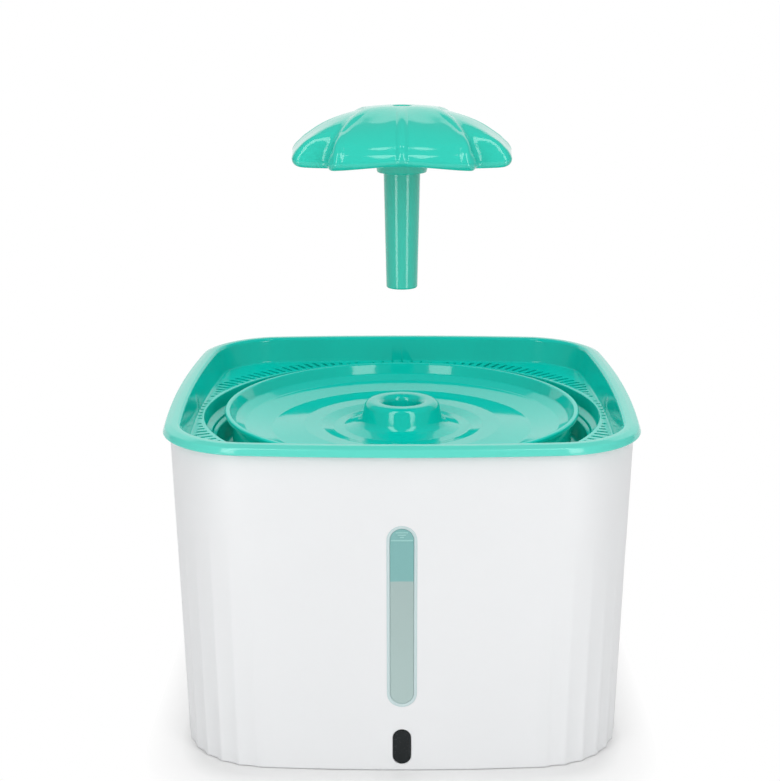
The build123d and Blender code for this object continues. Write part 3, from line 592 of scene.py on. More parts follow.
def badge_gloss(name, colour):
    """Dark gloss plate with a few specks of dust."""
    finish = Finish(name)
    dust = finish.ramp(finish.noise(2600, 2), (0.66, 0.0), (0.74, 1.0))
    finish.feed(finish.shader, {
        "Base Color": finish.mixed(dust * 0.25, colour, (0.25, 0.26, 0.27)),
        "Roughness": 0.16 + dust * 0.4,
        "Specular IOR Level": 0.25,
    })
    finish.bump(finish.noise(300, 2), 0.00002)
    return finish


def rubber(name, colour, roughness=0.62):
    """Matt rubber with a powdery bloom."""
    finish = Finish(name)
    bloom = finish.noise(70, 4)
    fine = finish.noise(3200, 3)
    finish.feed(finish.shader, {
        "Base Color": finish.mixed(bloom, colour, shade(colour, 1.7)),
        "Roughness": roughness + fine * 0.2,
    })
    finish.bump(fine, 0.00004)
    return finish


def open_foam(name, colour):
    """Open-cell foam: small pores between struts, with painted shade that makes the pores dark."""
    finish = Finish(name)
    # Painted shade: the pores are darker and the struts lighter.
    pores_and_shade = finish.ramp(finish.cells(900), (0.25, 0.0), (0.7, 1.0))
    finish.feed(finish.shader, {
        "Base Color": finish.mixed(pores_and_shade, shade(colour, 0.35), shade(colour, 1.3)),
        "Roughness": 0.85 + finish.noise(500) * 0.1,
    })
    finish.bump(pores_and_shade, 0.0004)
    return finish


def carbon_grains(name, colour):
    """Bed of black carbon grains, each with its own glint."""
    finish = Finish(name)
    grains = finish.cells(650)
    tone = finish.noise(650, 1)
    finish.feed(finish.shader, {
        "Base Color": finish.mixed(tone, shade(colour, 0.6), shade(colour, 2.4)),
        "Roughness": 0.35 + tone * 0.5,
    })
    finish.bump(1 - grains, 0.0006)
    return finish


def needle_felt(name, colour):
    """White fleece of crossing fibres."""
    finish = Finish(name)
    one = finish.noise(120, 5, finish.stretched(1, 16, 6))
    two = finish.noise(130, 5, finish.stretched(15, 1.2, 7))
    fibres = one.math("MAXIMUM", two)
    finish.feed(finish.shader, {
        "Base Color": finish.mixed(fibres, shade(colour, 0.72), colour),
        "Roughness": 0.9 + fibres * 0.08,
    })
    finish.bump(fibres, 0.0005)
    return finish


def metal(name, colour, roughness, axis_name, pitch, depth):
    """Metal with fine lines across one axis, such as sheets, wire or a ground face."""
    finish = Finish(name)
    lines = (finish.axis(axis_name) * (FULL_TURN / pitch)).math("SINE") * 0.5 + 0.5
    stain = finish.noise(220, 4)
    worn = lines * 0.5 + stain * 0.4
    finish.feed(finish.shader, {
        "Base Color": finish.mixed(worn, shade(colour, 0.55), shade(colour, 1.1)),
        "Roughness": roughness + stain * 0.18,
        "Metallic": 1.0,
    })
    finish.bump(lines + stain * 0.2, depth)
    return finish


def sintered(name, colour):
    """Pressed magnet ring: dark, grainy and slightly metallic."""
    finish = Finish(name)
    grain = finish.noise(2400, 4)
    finish.feed(finish.shader, {
        "Base Color": finish.mixed(grain, shade(colour, 0.6), shade(colour, 1.6)),
        "Roughness": 0.45 + grain * 0.25,
        "Metallic": 0.6,
    })
    finish.bump(grain, 0.00004)
    return finish


def cast_resin(name, colour):
    """Poured resin with a skin and small bubbles."""
    finish = Finish(name)
    bubbles = finish.ramp(finish.cells(420), (0.05, 1.0), (0.16, 0.0))
    finish.feed(finish.shader, {
        "Base Color": finish.mixed(finish.noise(60, 3), colour, shade(colour, 1.6)),
        "Roughness": 0.22 + finish.noise(150) * 0.15,
    })
    finish.bump(finish.noise(45, 2) - bubbles * 0.5, 0.0002)
    return finish


def all_finishes(colours):
    """Every finish of the fountain: one for each material slot, and the fill mark's. A
    moulded one gives its name, colour, roughness, grain in waves per metre, the grain's
    depth in metres and, where it isn't the usual, how far its tone spreads."""
    white, mint, spout = (tuple(c) for c in (colours.white, colours.mint, colours.mint_spout))
    black = (0.018, 0.019, 0.021)
    # The top and outside of the tray's lip are painted paler: a painted sheen, standing in
    # for the reflection of the pale surroundings in its gloss.
    tray_painted_sheen = ((0.112, 0.67, 0.56), 0.1415, 0.1430)
    made = {
        "tank_white": moulded("tank satin white", white, 0.36, 2300, 0.000012, 0.015),
        "seal_white": moulded("window ring white", (0.55, 0.67, 0.68), 0.35, 1500, 1e-5, 0.03),
        "fill_mark": moulded("fill mark pale mint", (0.32, 0.59, 0.57), 0.35, 1500, 1e-5, 0.03),
        "frosted_window": frosted_window("frosted window", colours),
        "badge_dark": badge_gloss("dark badge", tuple(colours.badge)),
        "mint_tray": moulded("mint tray gloss", mint, 0.07, 420, 0.000008, 0.03, tray_painted_sheen),
        "mint_dish": moulded("mint dish gloss", mint, 0.04, 380, 0.000006, 0.03),
        "mint_spout": moulded("mint spout gloss", spout, 0.06, 380, 0.000008, 0.03),
        "frame_white": moulded("filter cage white", (0.72, 0.73, 0.72), 0.45, 1800, 0.00003),
        "riser_white": moulded("riser white", (0.66, 0.68, 0.68), 0.4, 1600, 0.00002),
        "pump_black": moulded("pump black", black, 0.42, 2600, 0.00004, 0.3),
        "impeller_blue": moulded("impeller pale blue", (0.42, 0.55, 0.70), 0.35, 1500, 2e-5),
        "dial_grey": moulded("dial grey", (0.11, 0.115, 0.12), 0.45, 2200, 0.00004),
        "rubber": rubber("black rubber", (0.012, 0.012, 0.013)),
        "silicone": rubber("pale silicone", (0.58, 0.60, 0.60), 0.38),
        "foam": open_foam("filter foam", (0.045, 0.05, 0.055)),
        "sponge": open_foam("pump sponge", (0.02, 0.021, 0.023)),
        "carbon": carbon_grains("carbon grains", (0.012, 0.012, 0.013)),
        "fleece": needle_felt("white fleece", (0.82, 0.82, 0.79)),
        "steel": metal("ground steel shaft", (0.62, 0.63, 0.65), 0.2, "Y", 0.00016, 0.000004),
        "core_iron": metal("laminated iron", (0.30, 0.30, 0.31), 0.4, "Y", 0.0007, 0.00006),
        "copper": metal("enamelled wire", (0.72, 0.25, 0.09), 0.25, "X", 0.0005, 0.0001),
        "magnet": sintered("magnet ring", (0.05, 0.05, 0.055)),
        "resin": cast_resin("potting resin", (0.012, 0.012, 0.016)),
    }
    return {name: finish.material for name, finish in made.items()}


all_made = {}


def finish_of(name):
    """The material of a finish; all of them are made on the first call."""
    if not all_made:
        all_made.update(all_finishes(bpy.context.scene.fountain_colours))
    return all_made[name]


# ---------------------------------------------------------------- tank
WINDOW_MIDDLE = 71.5  # heights of places on the front wall
BADGE_MIDDLE = 11.6
FILL_LINE = 106.1
TOP_FILL_BAR = 109.5
SKIRT_DROP = 0.88  # how far the tank's edge reaches below its base
FOOT_PLACE = 66  # of each foot's middle from the axis, both ways
FOOT_POCKET = 8.1  # radius of the hole for a foot


def tank_half_at(sizes, height):
    """Half width of the tank's outside at a height, in millimetres."""
    low, high = TANK_LOW.z / MM, TANK_HIGH.z / MM
    share = (height - low) / (high - low)
    return (sizes.half_base + (sizes.half_top - sizes.half_base) * share) / MM


def on_wall(sizes, height):
    """Place on the tank's front wall: X across, Y up the wall and Z outwards."""
    half = tank_half_at(sizes, height)
    lean = tank_half_at(sizes, height + 1) - half
    out = Vector((0, -1, -lean)).normalized()
    across = Vector((1, 0, 0))
    up = out.cross(across)
    place = Matrix((across, up, out)).transposed().to_4x4()
    place.translation = Vector((0, -half, height))
    return place


def tank_ring(sizes, rim_half, height, inset, fluted):
    """Ring of the tank's outline at a height, inset from its outside."""
    low, high, top = TANK_LOW.z / MM, TANK_HIGH.z / MM, sizes.flute_top / MM
    share = (height - low) / (high - low)
    corner = (sizes.corner_base + (sizes.corner_top - sizes.corner_base) * share) / MM
    fade = max(0.0, 1 - (height - low) / (top - low)) if fluted else 0.0
    depth = sizes.flute_depth / MM * fade
    return bowed_square(
        tank_half_at(sizes, height) - inset, corner - inset, height, rim_half, sizes.flutes, depth)


class FOUNTAIN_OT_tank(bpy.types.Operator):
    """Builds the fluted tank with its window slot, badge pocket and lead notch"""

    bl_idname = "fountain.tank"
    bl_label = "Tank"

    def execute(self, context):
        sizes = context.scene.fountain_tank
        rim_half = context.scene.fountain_tray.rim_half / MM
        low, high, wall = TANK_LOW.z / MM, TANK_HIGH.z / MM, sizes.wall / MM
        # The profile is (inset, height): up the outside, over the edge and down the inside.
        skirt = low - SKIRT_DROP
        foot = rounded([
            (40, low, 0), (3.2, low, 0.3), (2.2, skirt, 0.3), (0, skirt, 1.0), (0, low + 20, 0)], 7)
        wall_levels = [(0, low + 4 + step * (high - low - 5) / 36) for step in range(37)]
        edge = rounded([
            (0, high - 9, 0), (0, high, 0.5), (wall, high, 0.5), (wall, high - 9, 0)], 4)
        inside = rounded([(wall, high, 0), (wall, low + 3, 3.5), (60, low + 3, 0)], 6)
        rings = [
            tank_ring(sizes, rim_half, height, inset, fluted)
            for levels, fluted in ((foot + wall_levels, True), (edge + inside, False))
            for inset, height in levels
        ]
        tank = lofted("tank_shell", rings)
        # A thicker pad inside carries the window; then come the slot, the badge's pocket,
        # the lead's notch at the back and the holes for the feet.
        middle = on_wall(sizes, WINDOW_MIDDLE)
        carved(tank, plate("pad", middle, [(94.2, 24.7, -3.8), (94.2, 24.7, -1.2)]), "UNION")
        slot = [(82.2, 12.7, -8), (82.2, 12.7, -0.12), (82.4, 12.9, 0.05), (82.4, 12.9, 4)]
        carved(tank, plate("slot", middle, slot))
        pocket = [(16.4, 7.9, -0.5), (16.4, 7.9, -0.2), (16.9, 8.4, 0.05), (16.9, 8.4, 2)]
        carved(tank, plate("pocket", on_wall(sizes, BADGE_MIDDLE), pocket))
        back = Matrix.Rotation(math.pi, 4, "Z") @ Matrix.Translation((0, -102, high))
        notch = back @ Matrix.Rotation(math.pi / 2, 4, "X")
        carved(tank, plate("notch", notch, [(40, 9, -6), (40, 9, 6)]))
        feet = []
        for middle_x in (-FOOT_PLACE, FOOT_PLACE):
            for middle_y in (-FOOT_PLACE, FOOT_PLACE):
                rings = [
                    [(middle_x + x, middle_y + y, z) for x, y, z in ring]
                    for ring in (circle(FOOT_POCKET, z, even_angles(48)) for z in (-2, 2.2))
                ]
                feet.append(lofted("foot", rings))
        carved(tank, joined("feet", feet))
        finished(tank, "tank_white", "tank", "tank")
        return {"FINISHED"}


class FOUNTAIN_OT_window(bpy.types.Operator):
    """Builds the level window with its ring and fill mark, and the bare badge"""

    bl_idname = "fountain.window"
    bl_label = "Window and badge"

    def execute(self, context):
        sizes = context.scene.fountain_tank
        middle = on_wall(sizes, WINDOW_MIDDLE)
        pane = plate("level_pane", middle, [
            (87.6, 18.1, -5.4), (88.2, 18.7, -5.1), (88.2, 18.7, -3.85), (79.35, 9.85, -3.85),
            (79.35, 9.85, -0.50), (79.2, 9.7, -0.42), (78.8, 9.3, -0.38), (77.6, 8.1, -0.36)])
        finished(pane, "frosted_window", "tank", "level_window")
        ring = plate("window_ring", middle, [
            (82.2, 12.7, -3.7), (82.2, 12.7, -0.22), (82.1, 12.6, -0.12), (81.8, 12.3, -0.06),
            (80.4, 10.9, -0.06), (79.8, 10.3, -0.14), (79.5, 10.0, -0.36), (79.4, 9.9, -3.7)], True)
        finished(ring, "seal_white", "tank", "window_seal")
        # The fill line, and three shorter and shorter bars that point down to it.
        across = Matrix.Rotation(math.pi / 2, 4, "Z")
        marks = [plate("line", on_wall(sizes, FILL_LINE) @ across, [
            (9.2, 0.7, -0.5), (9.2, 0.7, -0.28), (9.0, 0.5, -0.22)])]
        for row in range(3):
            width = 5.2 - 1.7 * row
            marks.append(plate("bar", on_wall(sizes, TOP_FILL_BAR - row) @ across, [
                (width, 0.6, -0.5), (width, 0.6, -0.28), (width - 0.1, 0.4, -0.22)]))
        finished(joined("fill_mark", marks), "seal_white", "tank", finish="fill_mark")
        badge = plate("badge_plate", on_wall(sizes, BADGE_MIDDLE), [
            (16.2, 7.7, -0.46), (16.2, 7.7, 0.02), (16.05, 7.55, 0.14), (15.7, 7.2, 0.21),
            (15.2, 6.7, 0.24), (14.6, 6.1, 0.25)])
        finished(badge, "badge_dark", "tank", "badge")
        return {"FINISHED"}


# ---------------------------------------------------------------- tray
DECK_HEIGHT = 133.8  # upper face of the deck
DECK_UNDER = 131.8  # its lower face
WELL_FLOOR = 97.0  # upper face of the grid floor
WELL_UNDER = 95.0  # its lower face
COLLAR = (10.4, 12.4)  # inside and outside radius of the collar in the well's middle
SLOT_FROM_WELL = 1.9  # from the well's edge to the drain slots
SLOT_REACH = 9.2  # longest drain slot
PITS_EACH_WAY = 3  # pits beside the middle one of a side
PIT_PITCH = math.radians(3.1)


def slot_tool(radius, reach, width, angle, low, high):
    """Round-ended cutter that points away from the axis."""
    turn = Matrix.Rotation(angle, 4, "Z")
    outline = [turn @ Vector((radius + reach / 2 + y, x, 0)) for x, y in stadium(reach, width, 6)]
    return lofted("slot", [[(p.x, p.y, z) for p in outline] for z in (low, high)])


def deck_reach(ring, angle):
    """Distance from the axis to a ring's outline at an angle."""
    def miss(point):
        return abs((math.atan2(point[1], point[0]) - angle + math.pi) % FULL_TURN - math.pi)
    return Vector(min(ring, key=miss)[:2]).length


class FOUNTAIN_OT_tray(bpy.types.Operator):
    """Builds the drip tray: round rim, slotted deck, deep well and its grid floor"""

    bl_idname = "fountain.tray"
    bl_label = "Tray"

    def execute(self, context):
        sizes = context.scene.fountain_tray
        half, corner, well = sizes.rim_half / MM, sizes.rim_corner / MM, sizes.well / MM
        # The square part runs under the deck, up the outside of the rim, over it and down
        # to the deck; the round part goes down the well, round its floor and up outside.
        square = rounded([
            (86, DECK_UNDER, 0), (97, DECK_UNDER, 1.2), (98.6, 142.7, 0.4), (half, 142.7, 0.6),
            (half - 1.2, 145.8, 1.2), (half - 4.2, 146.7, 3), (97.2, 146.8, 2.6),
            (95.1, DECK_HEIGHT, 1.1), (86, DECK_HEIGHT, 0)], 7)
        outline = bowed_square(94, corner - half + 94, 0, half)
        angles = [math.atan2(y, x) for x, y, z in outline]
        rings = [bowed_square(reach, corner - half + reach, z, half) for reach, z in square]
        hole, post = COLLAR
        round_part = rounded([
            (100, DECK_HEIGHT, 0), (well, DECK_HEIGHT, 0.6), (well - 0.2, 127.2, 1.2),
            (well - 3.4, 125.6, 1.0), (well - 3.7, 124.4, 0.4), (well - 5.4, 123.4, 1.2),
            (well - 6.3, 114, 2.5), (81, 111.5, 1.2), (81, WELL_FLOOR, 1.5),
            (post, WELL_FLOOR, 1.0), (post, 102, 0.6), (hole, 102, 0.6), (hole, 93, 0.4),
            (post, 93, 0.4), (post, WELL_UNDER, 0.8), (82.6, WELL_UNDER, 2.0), (82.6, 109.9, 1.0),
            (well + 1.6, 112.4, 2.0), (well + 1.6, DECK_UNDER, 1.0), (100, DECK_UNDER, 0)], 5)
        rings += [circle(reach, z, angles) for reach, z in round_part]
        tray = lofted("drip_tray", rings, closed=True)
        # Drain slots fan out in the corners, and shallow pits stand in each side's middle.
        tools = []
        width, inner = sizes.slot_width / MM, well + SLOT_FROM_WELL
        through, shallow = (DECK_UNDER - 1, DECK_HEIGHT + 1), (DECK_HEIGHT - 0.8, DECK_HEIGHT + 1.3)
        count = int(FULL_TURN / sizes.slot_pitch / 4)
        for quarter in range(4):
            side = quarter * math.pi / 2
            for number in range(count):
                turn = (number - (count - 1) / 2) * sizes.slot_pitch
                angle = math.radians(45) + side + turn
                reach = min(SLOT_REACH, deck_reach(outline, angle) - 1.0 - well - SLOT_FROM_WELL)
                if reach > width + 0.05:
                    tools.append(slot_tool(inner, reach, width, angle, *through))
            for number in range(-PITS_EACH_WAY, PITS_EACH_WAY + 1):
                angle = side + number * PIT_PITCH
                tools.append(slot_tool(well + 0.9, 2.2, 1.4, angle, *shallow))
        # Three rows of slots make the well's floor a grid.
        for row in range(3):
            slots = 8 * (row + 2)
            for number in range(slots):
                angle = FULL_TURN * number / slots
                tools.append(slot_tool(19 + 21 * row, 16, 4, angle, WELL_UNDER - 1, WELL_FLOOR + 1))
        carved(tray, joined("slots", tools))
        finished(tray, "mint_tray", "tray", "tray")
        return {"FINISHED"}


# ---------------------------------------------------------------- dish
SKIRT_LOW = 112.0  # lower edge of the skirt
SOCKET = (10.4, 12.4)  # inside and outside radius of the socket under the cone
NOTCHES = 8  # in the skirt


class FOUNTAIN_OT_dish(bpy.types.Operator):
    """Builds the drinking dish with its nozzle cone and notched skirt"""

    bl_idname = "fountain.dish"
    bl_label = "Dish"

    def execute(self, context):
        sizes = context.scene.fountain_dish
        rim, floor, bore = sizes.rim / MM, sizes.floor / MM, sizes.nozzle / MM
        hole, post = SOCKET
        # Down the outside, round the skirt, in under the floor, round the socket, up the
        # bore, over the cone and out across the bowl to the rim.
        profile = rounded_loop([
            (rim, 136.5, 1.2), (rim - 0.4, 134.2, 0.5), (79.6, 133.1, 1.2), (79.6, SKIRT_LOW, 0.4),
            (77.6, SKIRT_LOW, 0.4), (77.6, 125.9, 1.5), (74.4, 125.9, 3), (29.6, 124.0, 3),
            (post, 124.0, 1.0), (post, 110, 0.5), (hole, 110, 0.5), (hole, 121.3, 0.3),
            (bore, 121.3, 0.3), (bore, 138.5, 3.3), (17.0, 138.5, 3.2), (19.6, 128.4, 6),
            (24.6, 127.0, 2.4), (27.2, floor + 0.3, 2.4), (32.0, floor + 0.2, 5),
            (38.0, floor + 1.5, 6), (46, floor + 1.75, 8), (61, floor + 0.75, 5),
            (73.6, floor + 3.1, 4), (78.2, 131.3, 1.6), (80.5, 136.5, 1.2)], 7)
        dish = turned("drinking_dish", profile)
        outline = rounded_loop([(8, -3, 0), (8, 6, 2.0), (-8, 6, 2.0), (-8, -3, 0)], 5)
        notches = []
        for number in range(NOTCHES):
            turn = Matrix.Rotation(FULL_TURN * number / NOTCHES, 4, "Z")
            place = turn @ Matrix.Translation((74, 0, SKIRT_LOW))
            rings = [[tuple(place @ Vector((x, y, z))) for y, z in outline] for x in (0, 9)]
            notches.append(lofted("notch", rings))
        carved(dish, joined("notches", notches))
        finished(dish, "mint_dish", "dish", "dish")
        return {"FINISHED"}


# ---------------------------------------------------------------- spout
CAP_LEVEL = 248.0  # height that the dome springs from
CAP_RISE = 27.0  # from there to its top
CAP_WIDE = 254.0  # height of the cap's widest place
CAP_FULLNESS = 2 / 2.25  # 1 is an ellipse, less is fuller
CAP_START = math.radians(84.4)  # where the dome begins, beside the outlet
CAP_STEPS = 72
RIM_ARCH = 2.4  # how far the rim rises in a petal's middle
ARCH_END, ARCH_FALL = 264, 14  # height where that ends, and the way down to its full size
UNDER_RISE = 24.0  # the dome's rise on its underside
UNDER_SHARE = 0.88  # the underside's width as a share of the outline
UNDER_STEPS = 22
PETAL_BOW = 250.0  # radius of a petal's outer edge
PETAL_POWER = 2.3  # of the plain round shape near the top
CORNER_BLEND, CREASE_BLEND = 2.2, 2.4  # how softly corners and creases are rounded
RIB_WIDTH = 2.6
CREASE_START = 17.0  # half width of a front petal near the top


def soft_least(first, second, width):
    """Smaller of two numbers, with the switch between them rounded off."""
    return -width * math.log(math.exp(-first / width) + math.exp(-second / width))


def petal_reach(angle, sizes, crisp):
    """Distance from the axis to the petal outline; crisp 0 leaves the creases out."""
    reach, half = sizes.petal_reach / MM, sizes.petal_half / MM
    turn = abs((angle + math.pi / 4) % (math.pi / 2) - math.pi / 4)
    back = PETAL_BOW - reach
    petals = []
    for swing in (turn, math.pi / 2 - turn):
        front = math.sqrt(PETAL_BOW**2 - (back * math.sin(swing)) ** 2) - back * math.cos(swing)
        petals.append(soft_least(front, half / max(math.sin(swing), 0.05), CORNER_BLEND))
    sharp = -soft_least(-petals[0], -petals[1], CREASE_BLEND)
    across = math.cos(turn) ** PETAL_POWER + math.sin(turn) ** PETAL_POWER
    plain = reach / across ** (1 / PETAL_POWER)
    return plain + (sharp - plain) * crisp


def rib(place, pitch):
    """1 on narrow ribs a pitch apart and 0 in the middle of the scoops between them."""
    off = (place + pitch / 2) % pitch - pitch / 2
    crest = max(1 - (off / RIB_WIDTH) ** 2, 0.0)
    return 0.5 * crest + 0.5 * math.cos(math.pi * off / pitch) ** 2


def petal_relief(x, y, share, sizes):
    """How far the cap's skin lies below its plain dome: the tucked side petals, the
    hollows between the ribs of every petal and a shallow groove inside the rim."""
    reach, half, pleat = sizes.petal_reach / MM, sizes.petal_half / MM, sizes.pleat / MM
    band = CREASE_START + (half - CREASE_START) * min(abs(y) / half, 1.0) ** 1.6
    tucked = smooth_step(-1.3, 1.3, abs(x) - band)
    if abs(y) > half and abs(y) > abs(x):
        tucked = 0.0
    fade = 1 - smooth_step(0.80, 0.98, abs(x) / reach)
    front = smooth_step(0.1, 0.55, abs(y) / reach) * (1 - tucked)
    side = smooth_step(0.4, 0.8, abs(x) / reach) * tucked
    low = sizes.proud / MM * tucked * fade
    low += pleat * front * (1 - rib(x, 0.84 * band))
    low += 0.4 * pleat * side * (1 - rib(y, 0.84 * half))
    low += 0.3 * math.exp(-((share - 0.93) / 0.03) ** 2)
    return low


def cap_ring(sizes, angles, share, height, crisp, relief):
    """Ring of the cap at a share of its outline; its rim arches up in each petal's middle."""
    ring = []
    for angle in angles:
        reach = petal_reach(angle, sizes, crisp) * share
        x, y, z = reach * math.cos(angle), reach * math.sin(angle), height
        arch = RIM_ARCH * math.cos(2 * angle) ** 2
        z += arch * smooth_step(0, 1, (ARCH_END - height) / ARCH_FALL) * crisp
        if relief:
            width, above = sizes.petal_reach / MM, height - CAP_LEVEL
            out = Vector((x / width**2, y / width**2, above / CAP_RISE**2)).normalized()
            low = petal_relief(x, y, share, sizes) * relief
            x, y, z = x - out.x * low, y - out.y * low, z - out.z * low
        ring.append((x, y, z))
    return ring


class FOUNTAIN_OT_spout(bpy.types.Operator):
    """Builds the flower cap with its hub and outlet, and the tapered stem"""

    bl_idname = "fountain.spout"
    bl_label = "Flower spout"

    def execute(self, context):
        sizes = context.scene.fountain_spout
        angles = even_angles(PETAL_STEPS)
        rings = []
        # The dome, from the outlet in its top down to its widest place.
        last = math.asin(((CAP_WIDE - CAP_LEVEL) / CAP_RISE) ** (1 / CAP_FULLNESS))
        for step in range(CAP_STEPS + 1):
            tilt = CAP_START + (last - CAP_START) * step / CAP_STEPS
            share = math.cos(tilt) ** CAP_FULLNESS
            height = CAP_LEVEL + CAP_RISE * math.sin(tilt) ** CAP_FULLNESS
            crisp = smooth_step(0.5, 0.97, share)
            rings.append(cap_ring(sizes, angles, share, height, crisp, 1.0))
        # Round the rim, as (share, height, relief), and up the hollow underside.
        rim = [
            (0.9855, 253.3, 1.0), (0.984, 252.6, 0.9), (0.979, 251.9, 0.8), (0.970, 251.2, 0.6),
            (0.957, 250.7, 0.4), (0.942, 250.35, 0.2), (0.926, 250.2, 0.1), (0.91, 250.25, 0),
            (0.897, 250.55, 0), (0.887, 251.1, 0), (0.880, 251.9, 0), (0.874, 252.9, 0)]
        rings += [cap_ring(sizes, angles, *level[:2], 1.0, level[2]) for level in rim]
        for step in range(UNDER_STEPS):
            tilt = math.radians(14 + (67.5 - 14) * step / (UNDER_STEPS - 1))
            share, height = UNDER_SHARE * math.cos(tilt), CAP_LEVEL + UNDER_RISE * math.sin(tilt)
            crisp = smooth_step(0.4, 0.95, math.cos(tilt))
            rings.append(cap_ring(sizes, angles, share, height, crisp, 0))
        # Down the hub, up its socket for the stem and out through the outlet, which ends
        # just under the highest place of the fountain.
        stem, tip, bore = sizes.stem_top / MM, sizes.stem_tip / MM, 5.4
        bottom, hub_end, plug = STEM_LOW.z / MM, CAP_LOW.z / MM, STEM_HIGH.z / MM
        socket = stem + 0.05
        hub = rounded([
            (30, 270.3, 0), (12.9, 270.3, 2.2), (12.6, 252, 3), (11.2, hub_end, 0.7),
            (socket, hub_end, 0.3), (socket, plug, 0.3), (4.0, plug, 0.3), (4.0, 275, 0.9),
            (9, 274.6, 0)], 6)
        rings += [circle(reach, min(z, 274.84), angles) for reach, z in hub]
        cap = lofted("flower_head", rings, closed=True)
        finished(cap, "mint_spout", "spout", "flower_cap")
        tube = turned("spout_tube", rounded_loop([
            (bore, bottom, 0.7), (tip, bottom, 0.9), (stem, hub_end, 2), (stem, plug, 0.4),
            (bore, plug, 0.4)], 6), 192)
        finished(tube, "mint_spout", "spout", "spout_stem")
        return {"FINISHED"}


# ---------------------------------------------------------------- filter and sponge
FILLING_BORE = 15.8  # radius of the hole in the filter's layers
LAYER_STEPS = 40  # across a layer
SPONGE_STEPS = 14  # through the sponge


def rough_ring(name, low, high, edge, depth, grain):
    """Round layer of soft or loose filling with an uneven skin."""
    inner, outer, bottom, top = FILLING_BORE, high.x / MM, low.z / MM, high.z / MM
    across = [inner + (outer - inner) * step / LAYER_STEPS for step in range(1, LAYER_STEPS)]
    profile = rounded_loop([
        (outer, top, edge), *((reach, top, 0) for reach in reversed(across)), (inner, top, edge),
        (inner, bottom, edge), *((reach, bottom, 0) for reach in across), (outer, bottom, edge)], 3)
    rings = []
    for reach, height in profile:
        ring = []
        for x, y, z in circle(reach, height, even_angles(288)):
            pit = depth * (0.5 + 0.5 * noise.noise(Vector((x, y, z)) * grain))
            side = 1 if z > (bottom + top) / 2 else -1
            ring.append((x, y, z - side * min(max(pit, 0), depth)))
        rings.append(ring)
    return lofted(name, rings, closed=True)


def sponge_ring(middle, width, height, corner, y):
    """Uneven ring of the sponge's outline at a depth; its long sides get more points."""
    outline = rounded_loop([
        (-width, -height, corner), (width, -height, corner),
        (width, height, corner), (-width, height, corner)], 8)
    ring = []
    for start, end in zip(outline, outline[1:] + outline[:1]):
        start, end = Vector(start), Vector(end)
        parts = 18 if (end - start).length > 5 else 1
        for part in range(parts):
            spot = start.lerp(end, part / parts)
            place = Vector((middle.x + spot.x, y, middle.z + spot.y))
            pit = 1 - 0.02 * (0.5 + 0.5 * noise.noise(place * 1.1))
            ring.append((middle.x + spot.x * pit, y, middle.z + spot.y * pit))
    return ring


class FOUNTAIN_OT_filter(bpy.types.Operator):
    """Builds the foam, carbon and fleece layers of the filter and the pump's sponge"""

    bl_idname = "fountain.filter"
    bl_label = "Filter fillings"

    def execute(self, context):
        foam = rough_ring("foam_layer", FOAM_LOW, FOAM_HIGH, 0.5, 0.35, 0.9)
        finished(foam, "foam", "filter", "filter_foam")
        carbon = rough_ring("carbon_layer", CARBON_LOW, CARBON_HIGH, 0.6, 0.5, 0.8)
        finished(carbon, "carbon", "filter", "filter_carbon")
        fleece = rough_ring("fleece_layer", FLEECE_LOW, FLEECE_HIGH, 1.0, 0.45, 0.25)
        finished(fleece, "fleece", "filter", "filter_fleece")
        # The sponge is a block with round edges, built as (inset, depth) levels from its
        # front face to its back face.
        low, high, edge = SPONGE_LOW / MM, SPONGE_HIGH / MM, 0.8
        half_x, half_z = (high.x - low.x) / 2, (high.z - low.z) / 2
        ends = rounded([(-9, low.y, 0), (0, low.y, edge), (0, high.y, edge), (-9, high.y, 0)], 4)
        front, back = ends[:5], ends[5:]
        run = high.y - low.y - 2 * edge
        levels = [(front[0][0] - 3, front[0][1]), *front]
        for step in range(SPONGE_STEPS + 1):
            levels.append((0, low.y + edge + run * step / SPONGE_STEPS))
        levels += [*back, (back[-1][0] - 3, back[-1][1])]
        rings = [
            sponge_ring((low + high) / 2, half_x + inset, half_z + inset, max(3.2 + inset, 1.0), y)
            for inset, y in levels
        ]
        sponge = lofted("intake_sponge", rings)
        finished(sponge, "sponge", "pump_cover", "pump_sponge")
        return {"FINISHED"}


class FOUNTAIN_OT_fittings(bpy.types.Operator):
    """Gives the pump, the riser and the other carried-over pieces their finishes"""

    bl_idname = "fountain.fittings"
    bl_label = "Pump and fittings"

    def execute(self, context):
        for part in frame["record"]["subparts"]:
            mesh = frame["nodes"][part["node"]].data
            mesh.materials.clear()
            mesh.materials.append(finish_of(part["material_slot"]))
        return {"FINISHED"}


# ---------------------------------------------------------------- stage
def floor_finish():
    """Pale floor that keeps the shadow close to the tank and is plain white beyond it, to
    the camera, to reflections and through clear pieces."""
    finish = Finish("pale floor")
    dust = finish.noise(40, 3)
    finish.feed(finish.shader, {
        "Base Color": finish.mixed(dust, (0.78, 0.78, 0.78), (0.82, 0.82, 0.82)),
        "Roughness": 0.9 + dust * 0.05,
        "Specular IOR Level": 0.0,
    })
    # Distance from a square with round corners about as large as the tank's foot.
    x = finish.axis("X").math("ABSOLUTE") * 1.12
    y = finish.axis("Y").math("ABSOLUTE")
    foot, fall = 0.098, 0.03
    away = ((x ** 6 + y ** 6) ** (1 / 6) - foot) / fall
    far = finish.ramp(away, (0.0, 0.0), (0.2, 0.08), (0.45, 0.6), (1.0, 1.0))
    glow = finish.node("ShaderNodeEmission", values={"Color": (1, 1, 1, 1), "Strength": 1.0})
    mix = {0: far * finish.seen(), 1: finish.shader.outputs[0], 2: glow.outputs[0]}
    surface = finish.node("ShaderNodeMixShader", values=mix).outputs[0]
    finish.feed(finish.output, {"Surface": surface})
    return finish.material


